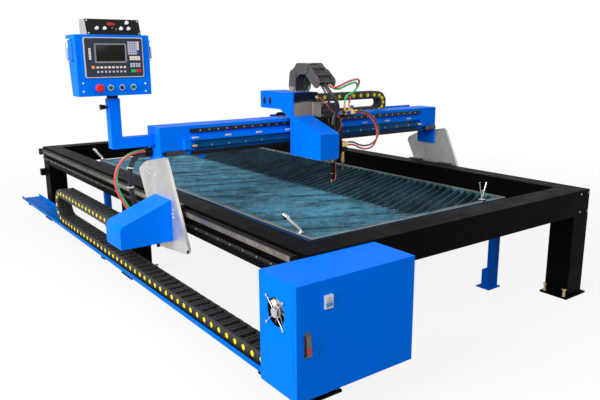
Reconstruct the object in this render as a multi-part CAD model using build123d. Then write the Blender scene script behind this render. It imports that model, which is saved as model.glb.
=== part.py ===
"""CNC gantry cutting table: a plasma and a gas torch on a gantry that runs over a slatted bed.

Millimetres, +Z up. The origin is on the floor at the centre of the black table frame, X runs
along the gantry to the right and Y along the guide rails towards the back.
"""

import math
import os

from build123d import *

# Clearances, and how far a cut runs past the face it opens
RUN_CLEAR = 0.05
SEAT_CLEAR = 0.3
RAIL_CLEAR = 0.5
FACE_CLEAR = 3.0
OVERCUT = 1.0

# Table frame
FRAME_WIDTH = 2130.0
FRAME_LENGTH = 4030.0
FRAME_TOP = 665.0
BEAM_HEIGHT = 150.0
END_BEAM_WIDTH = 150.0
SIDE_BEAM_WIDTH = 130.0
BEAM_WALL = 6.0
LEG_SIDE = 150.0
FOOT_LENGTH = 210.0
FOOT_WIDTH = 180.0
FOOT_THICK = 12.0
ANCHOR_HOLE_R = 9.0
LEVEL_BOLT_R = 8.0
LEVEL_BOLT_HEIGHT = 52.0
LEVEL_HEAD_R = 13.0
LEVEL_HEAD_HEIGHT = 10.0
VENT_R = 12.0
LEG_BLOCK_REACH = 43.0
LEG_BLOCK_LENGTH = 55.0
LEG_BLOCK_BOTTOM = 407.0
LEG_BLOCK_HEIGHT = 58.0

# Guide rails and racks on the sides of the frame; the groove's corners are shares of the rail's depth
RAIL_HEIGHT = 34.0
RAIL_DEPTH = 28.0
RAIL_WAIST = 5.0
RAIL_GROOVE = (0.32, 0.46, 0.68, 0.78)
RAIL_DROP = 30.0
RAIL_END_GAP = 60.0
RAIL_STOP_LENGTH = 30.0
RACK_DEPTH = 20.0
RACK_BACK = 19.0
RACK_DROP = 103.0
GEAR_MODULE = 3.0
DEDENDUM = 1.25 * GEAR_MODULE
PINION_TEETH = 20
PINION_WIDTH = 18.0
BACKLASH = 0.5
PRESSURE_ANGLE = 20.0

# Slatted bed
BED_WIDTH = 1520.0
BED_LENGTH = 3020.0
BED_Y = -135.0
BED_TOP = 590.0
BED_TUBE = 40.0
BED_RAIL_HEIGHT = 90.0
SLAT_HEIGHT = 80.0
SLAT_THICK = 4.0
SLAT_SHORTEST = 12.0
SLAT_PITCH = 60.0
SLAT_ANGLE = 25.0
BED_BEARERS = 4
BED_LEG_SIDE = 50.0
BED_LEG_WALL = 4.0
BED_LEG_INSET = 20.0
BED_PLATE_WIDTH = 120.0
BED_PLATE_DEPTH = 100.0
BED_PLATE_THICK = 8.0
SOCKET_HEIGHT = 120.0

# Clamps on the bed's edge: places are (x, y, z) or (x, z) from the middle of the foot
LEVER_INSET = 110.0
LEVER_FOOT = 32.0
LEVER_FOOT_HEIGHT = 10.0
LEVER_START = 8.0
LEVER_END = (-34.0, 82.0, 74.0)
LEVER_TIP = (-40.0, 96.0, 86.0)
LEVER_R = 8.0
LEVER_GRIP_R = 11.0
SPRING_INSET = 189.0
SPRING_JAW_WIDTH = 28.0
SPRING_JAW_DEPTH = 36.0
SPRING_JAW_HEIGHT = 12.0
SPRING_ARMS = ((-30.0, 118.0), (34.0, 112.0))
SPRING_ARM_R = 5.0
SPRING_TIE = ((-17.0, 62.0), (19.0, 62.0))
SPRING_TIE_R = 4.0

# Drag chain beside the table
CHAIN_OFFSET = 105.0
CHAIN_WIDTH = 110.0
CHAIN_HEIGHT = 65.0
CHAIN_PITCH = 74.0
CHAIN_PLATE = 10.0
CHAIN_BAR = 5.0
CHAIN_BAR_SHARE = 0.5
CHAIN_BAR_INSET = 1.0
CHAIN_GAP = 0.6
CHAIN_BEND_R = 108.0
CHAIN_BEND_Y = 990.0
BEND_LINKS = 5
BEND_LOWER_LINKS = 2
TRAY_WIDTH = 154.0
TRAY_BOTTOM = 169.0
TRAY_SHEET = 3.0
TRAY_LIP = 26.0
TRAY_OVERRUN = 185.0
TRAY_ARM_WIDTH = 60.0
TRAY_ARM_THICK = 12.0

# Control cabinet in front of the table
CABINET_OVERHANG = 233.0
CABINET_WIDTH = 600.0
CABINET_DEPTH = 246.0
CABINET_BOTTOM = 197.0
CABINET_HEIGHT = 460.0
CABINET_SHEET = 3.0
DOOR_DEPTH = 20.0
DOOR_GAP = 1.0
HINGE_R = 5.0
HINGE_PIN_R = 2.5
HINGE_LENGTH = 60.0
HINGE_INSET = 83.0
HINGE_LEAF = 2.0
HINGE_LEAF_DEPTH = 20.0
HINGE_STRAP = 4.0
FAN_FROM_BACK = 113.0
FAN_RISE = 322.0
FAN_SIDE = 120.0
FAN_BORE_R = 57.0
FAN_DEPTH = 25.0
FAN_HUB_R = 20.0
FAN_BLADES = 7
FAN_BLADE_THICK = 2.0
FAN_BLADE_WIDTH = 20.0
FAN_BLADE_ANGLE = 28.0
FAN_BLADE_ROOT = 16.0
FAN_TIP_GAP = 2.0
FAN_ROTOR_GAP = 2.0
SPIDER_THICK = 3.0
SPIDER_WIDTH = 8.0
SPIDER_INSET = 1.0
GUARD_WIRE_R = 1.5
GUARD_STAND = 5.0
GUARD_PROUD = 3.0
GUARD_PAD_R = 6.0
LATCH_FROM_LEFT = 47.0
LATCH_RISE = 225.0
LATCH_WIDTH = 27.0
LATCH_HEIGHT = 99.0
LATCH_PLATE = 4.0
LATCH_EAR = 3.0
LATCH_EAR_RIM = 4.5
LATCH_PIN_R = 2.5
LATCH_PIN_OUT = 5.8
LATCH_PIN_RISE = 11.5
LATCH_END_GAP = 6.0
BREAKER_FROM_LEFT = 145.0
BREAKER_RISE = 373.0
BREAKER_WIDTH = 37.0
BREAKER_HEIGHT = 52.0
BREAKER_PROUD = 9.0
BREAKER_RIM = 4.0
TOGGLE_DROP = 10.0
TOGGLE_SLOT = 26.0
TOGGLE_SIDE_GAP = 1.0
TOGGLE_DRUM_GAP = 1.2
TOGGLE_REACH = 10.0
TOGGLE_THICK = 6.0

# Outline of the latch handle: (out, rise) at its lower end and (out, drop) at its upper end
LATCH_LOW_EDGE = ((0.0, 6.0), (3.0, 1.0), (8.0, 0.0), (12.0, 8.0))
LATCH_HIGH_EDGE = ((8.0, 4.0), (0.0, 0.0))

# Units on the cabinet's mounting plate
ELECTRONICS_MARGIN = 30.0
ELECTRONICS_GAP = 20.0
DRIVE_UNITS = 3
DRIVE_UNIT_WIDTH = 42.0
DRIVE_UNIT_HEIGHT = 130.0
DRIVE_UNIT_DEPTH = 90.0
DRIVE_UNIT_PITCH = 67.2
DRIVE_SLOTS = 4
DRIVE_SLOT_PITCH = 28.0
DRIVE_SLOT_WIDTH = 10.5
DRIVE_SLOT_HEIGHT = 8.0
DRIVE_SLOT_DEPTH = 60.0
SUPPLY_WIDTH = 215.0
SUPPLY_HEIGHT = 115.0
SUPPLY_DEPTH = 50.0
CONTACTOR_LEFT = 150.0
CONTACTOR_WIDTH = 65.0
CONTACTOR_HEIGHT = 80.0
CONTACTOR_DEPTH = 70.0
TERMINAL_RISE = 180.0
TERMINAL_WIDTH = 140.0
TERMINAL_HEIGHT = 45.0
TERMINAL_DEPTH = 40.0

# Gantry; the side plate's corners are (y, z)
GANTRY_FRONT = -730.0
GANTRY_DEPTH = 165.0
GANTRY_BOTTOM = 910.0
GANTRY_HEIGHT = 165.0
GANTRY_WALL = 6.0
END_PLATE_THICK = 13.0
END_PLATE_DROP = 110.0
BLOCK_RISE = 48.0
BLOCK_LENGTH = 100.0
BLOCK_HEIGHT = 70.0
BLOCK_SPREAD = 290.0
BLOCK_Y = -710.0
PLATE_THICK = 18.0
PLATE_ROUND = 28.0
PLATE_CORNERS = ((-440.0, 815.0), (-560.0, 872.0), (-826.0, 925.0), (-1068.0, 432.0), (-680.0, 392.0))
DRIVE_Y = -767.0
COVER_REACH = 294.0
COVER_FRONT = -874.0
COVER_BACK = -660.0
COVER_DROP = 65.0
LEFT_COVER_RISE = (165.0, 53.0)
RIGHT_COVER_RISE = (108.0, 40.0)
COVER_ROUND = 40.0
COVER_SHARP = 0.01
COVER_SHEET = 3.0
MOTOR_SIDE = 86.0
MOTOR_LENGTH = 130.0
MOTOR_CAP_LENGTH = 40.0
MOTOR_CAP_R = 38.7
GEARBOX_SIDE = 90.0
GEARBOX_LENGTH = 60.0
SHAFT_R = 8.0
CROSS_RAIL_HALF = 930.0
CROSS_RAIL_DEPTH = 20.0
CROSS_RAIL_HEIGHT = 20.0
UPPER_RAIL_Z = 1047.0
LOWER_RAIL_Z = 960.0
LOWER_RAIL_HALF = 898.0
LEDGE_DEPTH = 25.0
LEDGE_BOTTOM = 990.0
LEDGE_HEIGHT = 24.0
CROSS_RACK_DROP = 3.0
STOP_LENGTH = 55.0
STOP_DEPTH = 28.0
STOP_LOW = 16.0
STOP_HIGH = 40.0
STOP_ROUND = 12.0
BUMPER_R = 9.0
BUMPER_OUT = 17.0
BUMPER_GAP = 2.0
SHOE_LENGTH = 110.0
SHOE_INSET = 11.0
SHOE_RISE = 4.0
SHOE_HEIGHT = 28.0
SENSOR_INSET = 40.0
SENSOR_WIDTH = 36.0
SENSOR_THICK = 6.0
SENSOR_SETBACK = 2.0
SENSOR_DROP = 26.0
SENSOR_R = 6.0
SENSOR_REACH = 24.0
GLAND_Y = -600.0
GLAND_Z = 926.0
GLAND_LENGTH = 40.0
GLAND_R = 26.0
CHAIN_END_Y = -600.0
CHAIN_END_ARM = 90.0
CHAIN_END_ARM_HEIGHT = 16.0
CHAIN_COMB_DEPTH = 52.0
CHAIN_COMB_THICK = 6.0
CHAIN_COMB_GAP = 1.0

# Drag chain along the gantry
CROSS_CHAIN_WIDTH = 76.0
CROSS_CHAIN_HEIGHT = 56.0
CROSS_CHAIN_PITCH = 65.0
CROSS_CHAIN_PLATE = 7.0
CROSS_BEND_R = 56.0
CROSS_BEND_X = 680.0
CROSS_FIXED_X = -150.0
CROSS_TRAY_DROP = 43.0
CROSS_TRAY_WIDTH = 95.0
CROSS_TRAY_LIP = 46.0

# Carriage and torch lift
ARM_X = -248.0
ARM_THICK = 8.0
ARM_BACK = -425.0
ARM_TOP = 1233.0
ARM_UNDER = 1125.0
ARM_KNEE = -650.0
ARM_FRONT = -793.0
COWL_TOP = 1090.0
COWL_SHOULDER = 1000.0
COWL_FRONT = -1069.0
COWL_BOTTOM = 848.0
COWL_RIGHT = -112.0
COWL_BACK = -761.0
COWL_SHEET = 3.0
SHELF_RIGHT = -62.0
SHELF_THICK = 6.0
SHELF_FLANGE = 48.0
BACKPLATE_LEFT = -240.0
BACKPLATE_RIGHT = 125.0
BACKPLATE_REAR = -790.0
BACKPLATE_THICK = 12.0
BACKPLATE_BOTTOM = 850.0
BACKPLATE_TOP = 1083.0
CARRIAGE_BLOCK_LENGTH = 80.0
CARRIAGE_BLOCK_HEIGHT = 52.0
CARRIAGE_BLOCK_LEFT = -160.0
CARRIAGE_BLOCK_RIGHT = 50.0
CROSS_DRIVE_X = -180.0
CROSS_MOTOR_LENGTH = 120.0
LIFT_LEFT = -95.0
LIFT_RIGHT = 75.0
LIFT_BRACKET = 56.0
LIFT_BRACKET_THICK = 12.0
LIFT_RAIL_SIDE = 20.0
LIFT_RAIL_INSET = 32.0
LIFT_MOTOR_LENGTH = 153.0
LIFT_BOX_RIGHT = 40.0
LIFT_BOX_FRONT = 34.0
LIFT_BOX_DROP = 4.0
SCREW_R = 8.0
SCREW_SETBACK = 34.0
SLIDE_FRONT = -875.0
SLIDE_THICK = 12.0
SLIDE_BOTTOM = 850.0
SLIDE_TOP = 1030.0
SLIDE_BLOCK_BOTTOM = 960.0
SLIDE_BLOCK_HEIGHT = 60.0
SLIDE_BLOCK_RIM = 11.0
NUT_SIDE = 30.0
NUT_BACK = 14.0
NUT_INSET = 15.0
TORCH_Y = -945.0
PLASMA_X = -62.0
PLASMA_TIP = 671.0
PLASMA_TOP = 1025.0
PLASMA_R = 17.0
PLASMA_CLAMP_RISE = 25.0
CUTTER_X = 20.0
CUTTER_TIP = 749.0
CUTTER_TOP = 930.0
CUTTER_R = 9.0
CUTTER_HEAD = 28.0
CUTTER_HEAD_HEIGHT = 33.6
CUTTER_CLAMP_RISE = 15.0
CLAMP_HEIGHT = 30.0
CLAMP_RIM = 12.0
VALVE_LEFT = 115.0
VALVE_LENGTH = 85.0
VALVE_HEIGHT = 26.0
VALVE_DEPTH = 22.0
VALVE_Y = -835.0
VALVE_Z = 1097.0
VALVE_INLETS = (126.0, 164.0)
VALVE_INLET_TOP = 1148.0
VALVE_INLET_R = 8.0
VALVE_INLET_NECK = 6.0
VALVE_INLET_TAPER = 3.0
VALVE_SPINDLE_R = 5.0
VALVE_SPINDLE = 14.0
FRONT_SPINDLE_X = 135.0
TOP_SPINDLE_X = 186.0
NIPPLE_LENGTH = 12.0
NIPPLE_R = 5.0
HAND_WHEEL_R = 13.0
HAND_WHEEL_WIDTH = 14.0
HAND_WHEEL_FLUTES = 6
FLUTE_R = 3.25
FLUTE_OUT = 13.65

# Turned outlines of the torches: (radius, height above the tip) and (radius, depth below the top)
PLASMA_NOSE = ((4.0, 0.0), (7.0, 0.0), (11.0, 16.0), (14.0, 24.0), (14.0, 60.0), (PLASMA_R, 66.0))
PLASMA_NECK = ((PLASMA_R, 20.0), (14.0, 14.0), (14.0, 0.0))
CUTTER_NOSE = ((3.0, 0.0), (5.0, 0.0), (6.5, 38.0), (11.0, 40.0), (11.0, 56.0), (CUTTER_R, 60.0))

# Short chain that carries the lines over to the torches; each link's tilt is from upright, in degrees
ARCH_LEFT = -171.0
ARCH_WIDTH = 127.0
ARCH_PITCH = 70.0
ARCH_PLATE_R = 34.0
ARCH_PLATE = 6.0
ARCH_BAR_R = 5.0
ARCH_BAR_INSET = 2.0
ARCH_FOOT_Y = -664.0
ARCH_FOOT_RISE = 36.0
ARCH_FOOT_HALF = 27.2
ARCH_FOOT_THICK = 6.0
ARCH_COMB_START = 4.0
ARCH_COMB = 12.0
ARCH_COMB_HEIGHT = 28.0
ARCH_TILTS = (8.0, 55.0, 90.0, 122.0, 128.0)

# Operator pendant
POST_SIDE = 60.0
POST_WALL = 4.0
POST_REACH = 210.0
POST_Y = -620.0
POST_TOP = 1240.0
ARM_TUBE_BOTTOM = 967.0
STUB_R = 22.0
STUB_BORE_R = 14.0
STUB_DEPTH = 60.0
FLANGE_R = 30.0
BOX_WIDTH = 390.0
BOX_HEIGHT = 310.0
BOX_BOTTOM = 1257.0
BOX_FRONT = -690.0
BOX_TOP_DEPTH = 150.0
BOX_BOTTOM_DEPTH = 105.0
BOX_SHEET = 3.0
PANEL_WIDTH = 312.0
PANEL_HEIGHT = 203.0
PANEL_RISE = 7.0
PANEL_ROUND = 8.0
PANEL_RIM = 12.0
PANEL_TOP_MARGIN = 13.0
HOUSING_INSET = 14.0
HOUSING_DEPTH = 62.0
SCREEN_WIDTH = 155.0
SCREEN_HEIGHT = 84.0
SCREEN_SHIFT = -19.0
SCREEN_LIFT = 22.0
SCREEN_SINK = 2.0
BUTTONS = 4
BUTTON_Z = 1299.0
BUTTON_PITCH = 62.0
BUTTON_R = 11.0
BUTTON_PROUD = 5.0
BUTTON_TAIL = 8.0
BEZEL_R = 15.0
BEZEL_RISE = 6.0
MUSHROOM_R = 21.0
MUSHROOM_NECK = 8.0
MUSHROOM_REACH = 24.0
MUSHROOM_ROUND = 7.0
SELECTOR_GRIP = 11.0
SELECTOR_WIDTH = 6.0
SELECTOR_LENGTH = 20.0
HANDLE_R = 5.0
HANDLE_SPAN = 106.0
HANDLE_REACH = 28.0
HANDLE_ROUND = 12.5
HANDLE_DROP = 78.0
HANDLE_Y = -640.0
HEIGHT_BOX_SHIFT = 25.0
HEIGHT_BOX_WIDTH = 290.0
HEIGHT_BOX_HEIGHT = 81.0
HEIGHT_BOX_BACK = -540.0
HEIGHT_BOX_FOOT = 115.0
HEIGHT_BOX_CROWN = 85.0
CABLE_SLOT_WIDTH = 6.0
CABLE_SLOT_HEIGHT = 18.0
CABLE_SLOT_INSET = 12.0
KNOB_R = 9.0
KNOB_RISE = 12.0
KNOB_POINTER = 3.0
KNOB_POINTER_LENGTH = 16.2
KNOB_SHAFT_R = 3.0
KNOB_SHAFT_LENGTH = 15.0
KNOB_SPOTS = ((-90.0, 31.0), (-49.0, 31.0), (38.0, 31.0), (79.0, 31.0), (75.0, 62.0))
LOCK_KNOB_Z = 1195.0
LOCK_KNOB_R = 15.0
LOCK_KNOB_NECK_R = 10.5
LOCK_KNOB_LENGTH = 28.0
LOCK_KNOB_GAP = 12.0
LOCK_STUD_R = 5.0
LOCK_STUD_LAP = 2.0

# Free lines: the largest arc at a corner takes this share of the shorter run beside it
BEND_SHARE = 0.45
SIDE_HOSE_R = 6.5
SIDE_BUNDLE_R = 15.0
GAS_HOSE_R = 6.5
LIFT_CABLE_R = 6.0
LEAD_R = 12.0
TORCH_HOSE_R = 6.0
WIRE_R = 2.0


def block(x0, x1, y0, y1, z0, z1):
    """A box between two opposite corners."""
    middle = Pos((x0 + x1) / 2, (y0 + y1) / 2, (z0 + z1) / 2)
    return middle * Box(abs(x1 - x0), abs(y1 - y0), abs(z1 - z0))


def tube(x0, x1, y0, y1, z0, z1, wall):
    """A closed box section with a drain hole in its floor."""
    section = block(x0, x1, y0, y1, z0, z1)
    section -= block(x0 + wall, x1 - wall, y0 + wall, y1 - wall, z0 + wall, z1 - wall)
    x, y = (x0 + x1) / 2, (y0 + y1) / 2
    return section - rod((x, y, z0 - wall), (x, y, z0 + 2 * wall), VENT_R)


def rod(start, end, radius):
    """A round bar between two points."""
    a, b = Vector(*start), Vector(*end)
    return extrude(Plane(a, z_dir=b - a) * Circle(radius), (b - a).length)


def group(*shapes):
    """Separate solids in one node."""
    return Compound([solid for shape in shapes for solid in shape.solids()])


def prism_x(points, x0, x1):
    """An outline of (y, z) points, extruded along X."""
    outline = Polyline(*[(x0, y, z) for y, z in points], close=True)
    return extrude(make_face(outline), x1 - x0, dir=(1, 0, 0))


def prism_y(points, y0, y1):
    """An outline of (x, z) points, extruded along Y."""
    outline = Polyline(*[(x, y0, z) for x, z in points], close=True)
    return extrude(make_face(outline), y1 - y0, dir=(0, 1, 0))


def flipped(shape):
    """The same piece on the other side of the table."""
    return mirror(shape, about=Plane.YZ)


NODES = {}


def keep(name, shape):
    NODES[name] = shape


# Places that several pieces share
half_width = FRAME_WIDTH / 2
half_length = FRAME_LENGTH / 2
beam_bottom = FRAME_TOP - BEAM_HEIGHT
rail_z = FRAME_TOP - RAIL_DROP
pinion_r = GEAR_MODULE * PINION_TEETH / 2
drive_z = FRAME_TOP - RACK_DROP - pinion_r
plate_inner = half_width + BLOCK_RISE
plate_outer = plate_inner + PLATE_THICK
gantry_back = GANTRY_FRONT + GANTRY_DEPTH
gantry_top = GANTRY_BOTTOM + GANTRY_HEIGHT
gantry_half = plate_inner - END_PLATE_THICK
to_back = Rot(0, 0, 90)

# Places of the cabinet and the chain beside the table
cabinet_x = -half_width - CABINET_OVERHANG
cabinet_right = cabinet_x + CABINET_WIDTH
cabinet_back = -half_length
cabinet_front = cabinet_back - CABINET_DEPTH
cabinet_top = CABINET_BOTTOM + CABINET_HEIGHT
shell_front = cabinet_front + DOOR_DEPTH + DOOR_GAP
hinge_x = cabinet_right + HINGE_R
hinge_heights = (CABINET_BOTTOM + HINGE_INSET, cabinet_top - HINGE_INSET)
fan_y = cabinet_back - FAN_FROM_BACK
fan_z = CABINET_BOTTOM + FAN_RISE
latch_x = cabinet_x + LATCH_FROM_LEFT
latch_z = CABINET_BOTTOM + LATCH_RISE
latch_face = cabinet_front - LATCH_PLATE
latch_pin_y = latch_face - LATCH_PIN_OUT
latch_pin_z = latch_z - LATCH_HEIGHT / 2 + LATCH_PIN_RISE
breaker_x = cabinet_x + BREAKER_FROM_LEFT
breaker_z = CABINET_BOTTOM + BREAKER_RISE
toggle_z = breaker_z - TOGGLE_DROP
chain_x = -half_width - CHAIN_OFFSET
chain_low_z = TRAY_BOTTOM + TRAY_SHEET + CHAIN_HEIGHT / 2 + RAIL_CLEAR
chain_high_z = chain_low_z + 2 * CHAIN_BEND_R
chain_start_y = cabinet_back + CHAIN_GAP

# Places of the carriage, its chain and the pendant
cross_low_z = gantry_top - CROSS_TRAY_DROP + TRAY_SHEET + CROSS_CHAIN_HEIGHT / 2 + RAIL_CLEAR
cross_high_z = cross_low_z + 2 * CROSS_BEND_R
cross_chain_y = gantry_back + CROSS_TRAY_WIDTH / 2
cross_pitch_z = GANTRY_BOTTOM + CROSS_RACK_DROP
cross_pinion_z = cross_pitch_z - pinion_r
backplate_front = BACKPLATE_REAR - BACKPLATE_THICK
screw_x = (LIFT_LEFT + LIFT_RIGHT) / 2
screw_y = backplate_front - SCREW_SETBACK
slide_back = SLIDE_FRONT + SLIDE_THICK
lift_rail_xs = (LIFT_LEFT + LIFT_RAIL_INSET, LIFT_RIGHT - LIFT_RAIL_INSET)
lift_box_front = screw_y - LIFT_BOX_FRONT
valve_right = VALVE_LEFT + VALVE_LENGTH
valve_front = VALVE_Y - VALVE_DEPTH / 2
valve_top = VALVE_Z + VALVE_HEIGHT / 2
post_x = -plate_inner - POST_REACH
button_xs = [post_x + (k - (BUTTONS - 1) / 2) * BUTTON_PITCH for k in range(BUTTONS)]
panel_top = BOX_BOTTOM + BOX_HEIGHT - PANEL_TOP_MARGIN
panel_bottom = panel_top - PANEL_HEIGHT
height_x = post_x + HEIGHT_BOX_SHIFT
height_bottom = BOX_BOTTOM + BOX_HEIGHT
height_lean = math.degrees(math.atan2(HEIGHT_BOX_FOOT - HEIGHT_BOX_CROWN, HEIGHT_BOX_HEIGHT))


# Routes of the free lines, from end to end
gland_end = -plate_inner - GLAND_LENGTH
comb_top = chain_high_z + CHAIN_HEIGHT / 2 + CHAIN_COMB_GAP + CHAIN_COMB_THICK
side_red = [
    (gland_end, -614, 936), (gland_end - 41, -614, 936), (gland_end - 97, -615, 924),
    (gland_end - 145, -613, 894), (gland_end - 175, -609, 846), (gland_end - 185, -604, 790),
    (gland_end - 177, -598, 734), (gland_end - 156, -594, 682), (gland_end - 128, -591, 632),
    (gland_end - 99, -589, 582), (gland_end - 72, -588, 532), (chain_x - 38, -588, 498),
    (chain_x - 38, -588, comb_top),
]
side_green = [
    (gland_end, -598, 940), (gland_end - 37, -598, 940), (gland_end - 90, -600, 928),
    (gland_end - 134, -599, 898), (gland_end - 162, -597, 850), (gland_end - 172, -592, 794),
    (gland_end - 164, -586, 738), (gland_end - 143, -582, 686), (gland_end - 115, -579, 636),
    (gland_end - 86, -577, 586), (gland_end - 58, -576, 536), (chain_x - 22, -576, 500),
    (chain_x - 22, -576, comb_top),
]
side_bundle = [
    (gland_end, -600, 916), (gland_end - 31, -600, 916), (gland_end - 65, -598, 898),
    (gland_end - 83, -594, 862), (gland_end - 89, -588, 814), (gland_end - 88, -582, 760),
    (gland_end - 81, -577, 704), (gland_end - 69, -574, 650), (gland_end - 53, -573, 598),
    (gland_end - 35, -573, 550), (chain_x, -575, 506), (chain_x, -575, comb_top),
]
gas_red = [
    (-92, -928.6, 1288.2), (-92, -943, 1277), (-83, -957, 1268), (-68, -966, 1265.5), (-42, -968, 1271),
    (-8, -963, 1281), (34, -951, 1292), (80, -936, 1301), (134, -918, 1308), (180, -898, 1309.5),
    (214, -876, 1296), (222, -856, 1266), (209, -840, 1235), (184, -834, 1207),
    (VALVE_INLETS[1], VALVE_Y, 1180), (VALVE_INLETS[1], VALVE_Y, VALVE_INLET_TOP),
]
gas_green = [
    (-76, -928.6, 1288.2), (-76, -940, 1279.3), (-68, -949, 1267), (-53, -955, 1258), (-28, -957, 1256),
    (6, -952, 1264), (48, -939, 1275), (92, -924, 1283), (138, -906, 1289), (176, -886, 1289),
    (203, -868, 1274), (204, -860, 1246), (184, -850, 1222), (150, -842, 1212),
    (VALVE_INLETS[0], VALVE_Y, 1190), (VALVE_INLETS[0], VALVE_Y, VALVE_INLET_TOP),
]
lift_cable = [
    (-148, -928.6, 1288.2), (-148, -955, 1267.6), (-144, -974, 1238), (-130, -981, 1202), (-110, -974, 1168),
    (-92, -950, 1141), (-80, -914, 1124), (-80, lift_box_front, 1124),
]
torch_lead = [
    (-120, -928.6, 1288.2), (-120, -964, 1260.5), (-106, -989, 1222), (-76, -998, 1184), (-52, -986, 1146),
    (-48, -962, 1110), (PLASMA_X, TORCH_Y, 1072), (PLASMA_X, TORCH_Y, PLASMA_TOP),
]
sense_wire = [
    (-72, ARM_FRONT, 1202), (-72, -822, 1202), (-72, -852, 1188), (-66, -882, 1166), (-50, -896, 1136),
    (-26, -908, 1112), (0, -922, 1088), (14, -934, 1058), (10, -942, 1024), (-8, TORCH_Y, 996),
    (-24, TORCH_Y, 990), (PLASMA_X + PLASMA_R, TORCH_Y, 990),
]
hose_black = [
    (212, -840, 1103), (250, -840, 1103), (304, -848, 1090), (352, -858, 1060), (384, -868, 1014),
    (392, -878, 962), (370, -888, 916), (326, -898, 888), (272, -908, 878), (218, -918, 880),
    (170, -930, 892), (128, -940, 910), (88, TORCH_Y, 921), (46, TORCH_Y, 921),
]
hose_red = [
    (212, -830, 1091), (250, -830, 1091), (300, -840, 1080), (344, -852, 1052), (372, -864, 1006),
    (378, -878, 952), (356, -894, 900), (314, -906, 868), (262, -916, 856), (208, -926, 862),
    (160, -936, 878), (122, -943, 896), (86, TORCH_Y, 904), (46, TORCH_Y, 904),
]


def table_beams():
    """Two end beams with closed ends and two side beams between them."""
    beams = []
    for side in (-1, 1):
        outer = side * half_length
        inner = side * (half_length - END_BEAM_WIDTH)
        y0, y1 = min(outer, inner), max(outer, inner)
        beams.append(tube(-half_width, half_width, y0, y1, beam_bottom, FRAME_TOP, BEAM_WALL))
    span = half_length - END_BEAM_WIDTH
    side_beam = block(half_width - SIDE_BEAM_WIDTH, half_width, -span, span, beam_bottom, FRAME_TOP)
    side_beam -= block(
        half_width - SIDE_BEAM_WIDTH + BEAM_WALL, half_width - BEAM_WALL,
        -span - OVERCUT, span + OVERCUT,
        beam_bottom + BEAM_WALL, FRAME_TOP - BEAM_WALL,
    )
    return group(*beams, side_beam, flipped(side_beam))


def leg(x, y, width, anchored):
    """A square tube on a welded foot plate, with two levelling bolts through the plate."""
    outer = block(x - width / 2, x + width / 2, y - LEG_SIDE / 2, y + LEG_SIDE / 2, FOOT_THICK, beam_bottom)
    outer -= block(
        x - width / 2 + BEAM_WALL, x + width / 2 - BEAM_WALL,
        y - LEG_SIDE / 2 + BEAM_WALL, y + LEG_SIDE / 2 - BEAM_WALL,
        FOOT_THICK, beam_bottom + OVERCUT,
    )
    foot_x = math.copysign(half_width - LEG_SIDE / 2, x)
    plate = block(
        foot_x - FOOT_LENGTH / 2, foot_x + FOOT_LENGTH / 2,
        y - FOOT_WIDTH / 2, y + FOOT_WIDTH / 2, 0, FOOT_THICK,
    )
    strip = (FOOT_LENGTH - LEG_SIDE) / 4 + LEG_SIDE / 2
    if anchored:
        hole_x = foot_x + math.copysign(strip, x)
        plate -= rod((hole_x, y, -OVERCUT), (hole_x, y, FOOT_THICK + OVERCUT), ANCHOR_HOLE_R)
    bolts = []
    for end in (-1, 1):
        bolt_x = foot_x - math.copysign(strip, x)
        bolt_y = y + end * (FOOT_WIDTH / 2 - 2 * LEVEL_HEAD_R)
        plate -= rod((bolt_x, bolt_y, -OVERCUT), (bolt_x, bolt_y, FOOT_THICK + OVERCUT),
                     LEVEL_BOLT_R + RUN_CLEAR)
        shank = rod((bolt_x, bolt_y, 0), (bolt_x, bolt_y, LEVEL_BOLT_HEIGHT), LEVEL_BOLT_R)
        hexagon = extrude(RegularPolygon(LEVEL_HEAD_R, 6), LEVEL_HEAD_HEIGHT)
        nut = Pos(bolt_x, bolt_y, FOOT_THICK) * hexagon
        head = Pos(bolt_x, bolt_y, LEVEL_BOLT_HEIGHT) * hexagon
        bolts.append(shank + nut + head)
    return [outer + plate, *bolts]


def legs():
    """Six legs, and a small block on the side of the rear left one."""
    corner_x = half_width - LEG_SIDE / 2
    corner_y = half_length - LEG_SIDE / 2
    middle_x = half_width - SIDE_BEAM_WIDTH / 2
    pieces = []
    for side in (-1, 1):
        pieces += leg(side * corner_x, -corner_y, LEG_SIDE, True)
        pieces += leg(side * corner_x, corner_y, LEG_SIDE, True)
        pieces += leg(side * middle_x, 0, SIDE_BEAM_WIDTH, False)
    pieces.append(block(-half_width - LEG_BLOCK_REACH, -half_width,
                        half_length - LEG_BLOCK_LENGTH, half_length,
                        LEG_BLOCK_BOTTOM, LEG_BLOCK_BOTTOM + LEG_BLOCK_HEIGHT))
    return group(*pieces)


def guide_rails():
    """A profile rail on the outside of each side beam, with a stop at each end."""
    h, d, w = RAIL_HEIGHT / 2, RAIL_DEPTH, RAIL_WAIST
    lip, floor_start, floor_end, crown = [share * d for share in RAIL_GROOVE]
    half_outline = [(0, -h), (lip, -h), (floor_start, w - h), (floor_end, w - h), (crown, -h), (d, -h)]
    outline = half_outline + [(u, -v) for u, v in reversed(half_outline)]
    end = half_length - RAIL_END_GAP
    rail = prism_y([(half_width + u, rail_z + v) for u, v in outline], -end, end)
    stops = []
    for side in (-1, 1):
        near = side * end
        far = side * (end + RAIL_STOP_LENGTH)
        stops.append(block(half_width, half_width + BLOCK_RISE - FACE_CLEAR, near, far,
                           rail_z - BLOCK_HEIGHT / 2, rail_z + RAIL_HEIGHT / 2))
    right = group(rail, *stops)
    return group(right, flipped(right))


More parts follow.
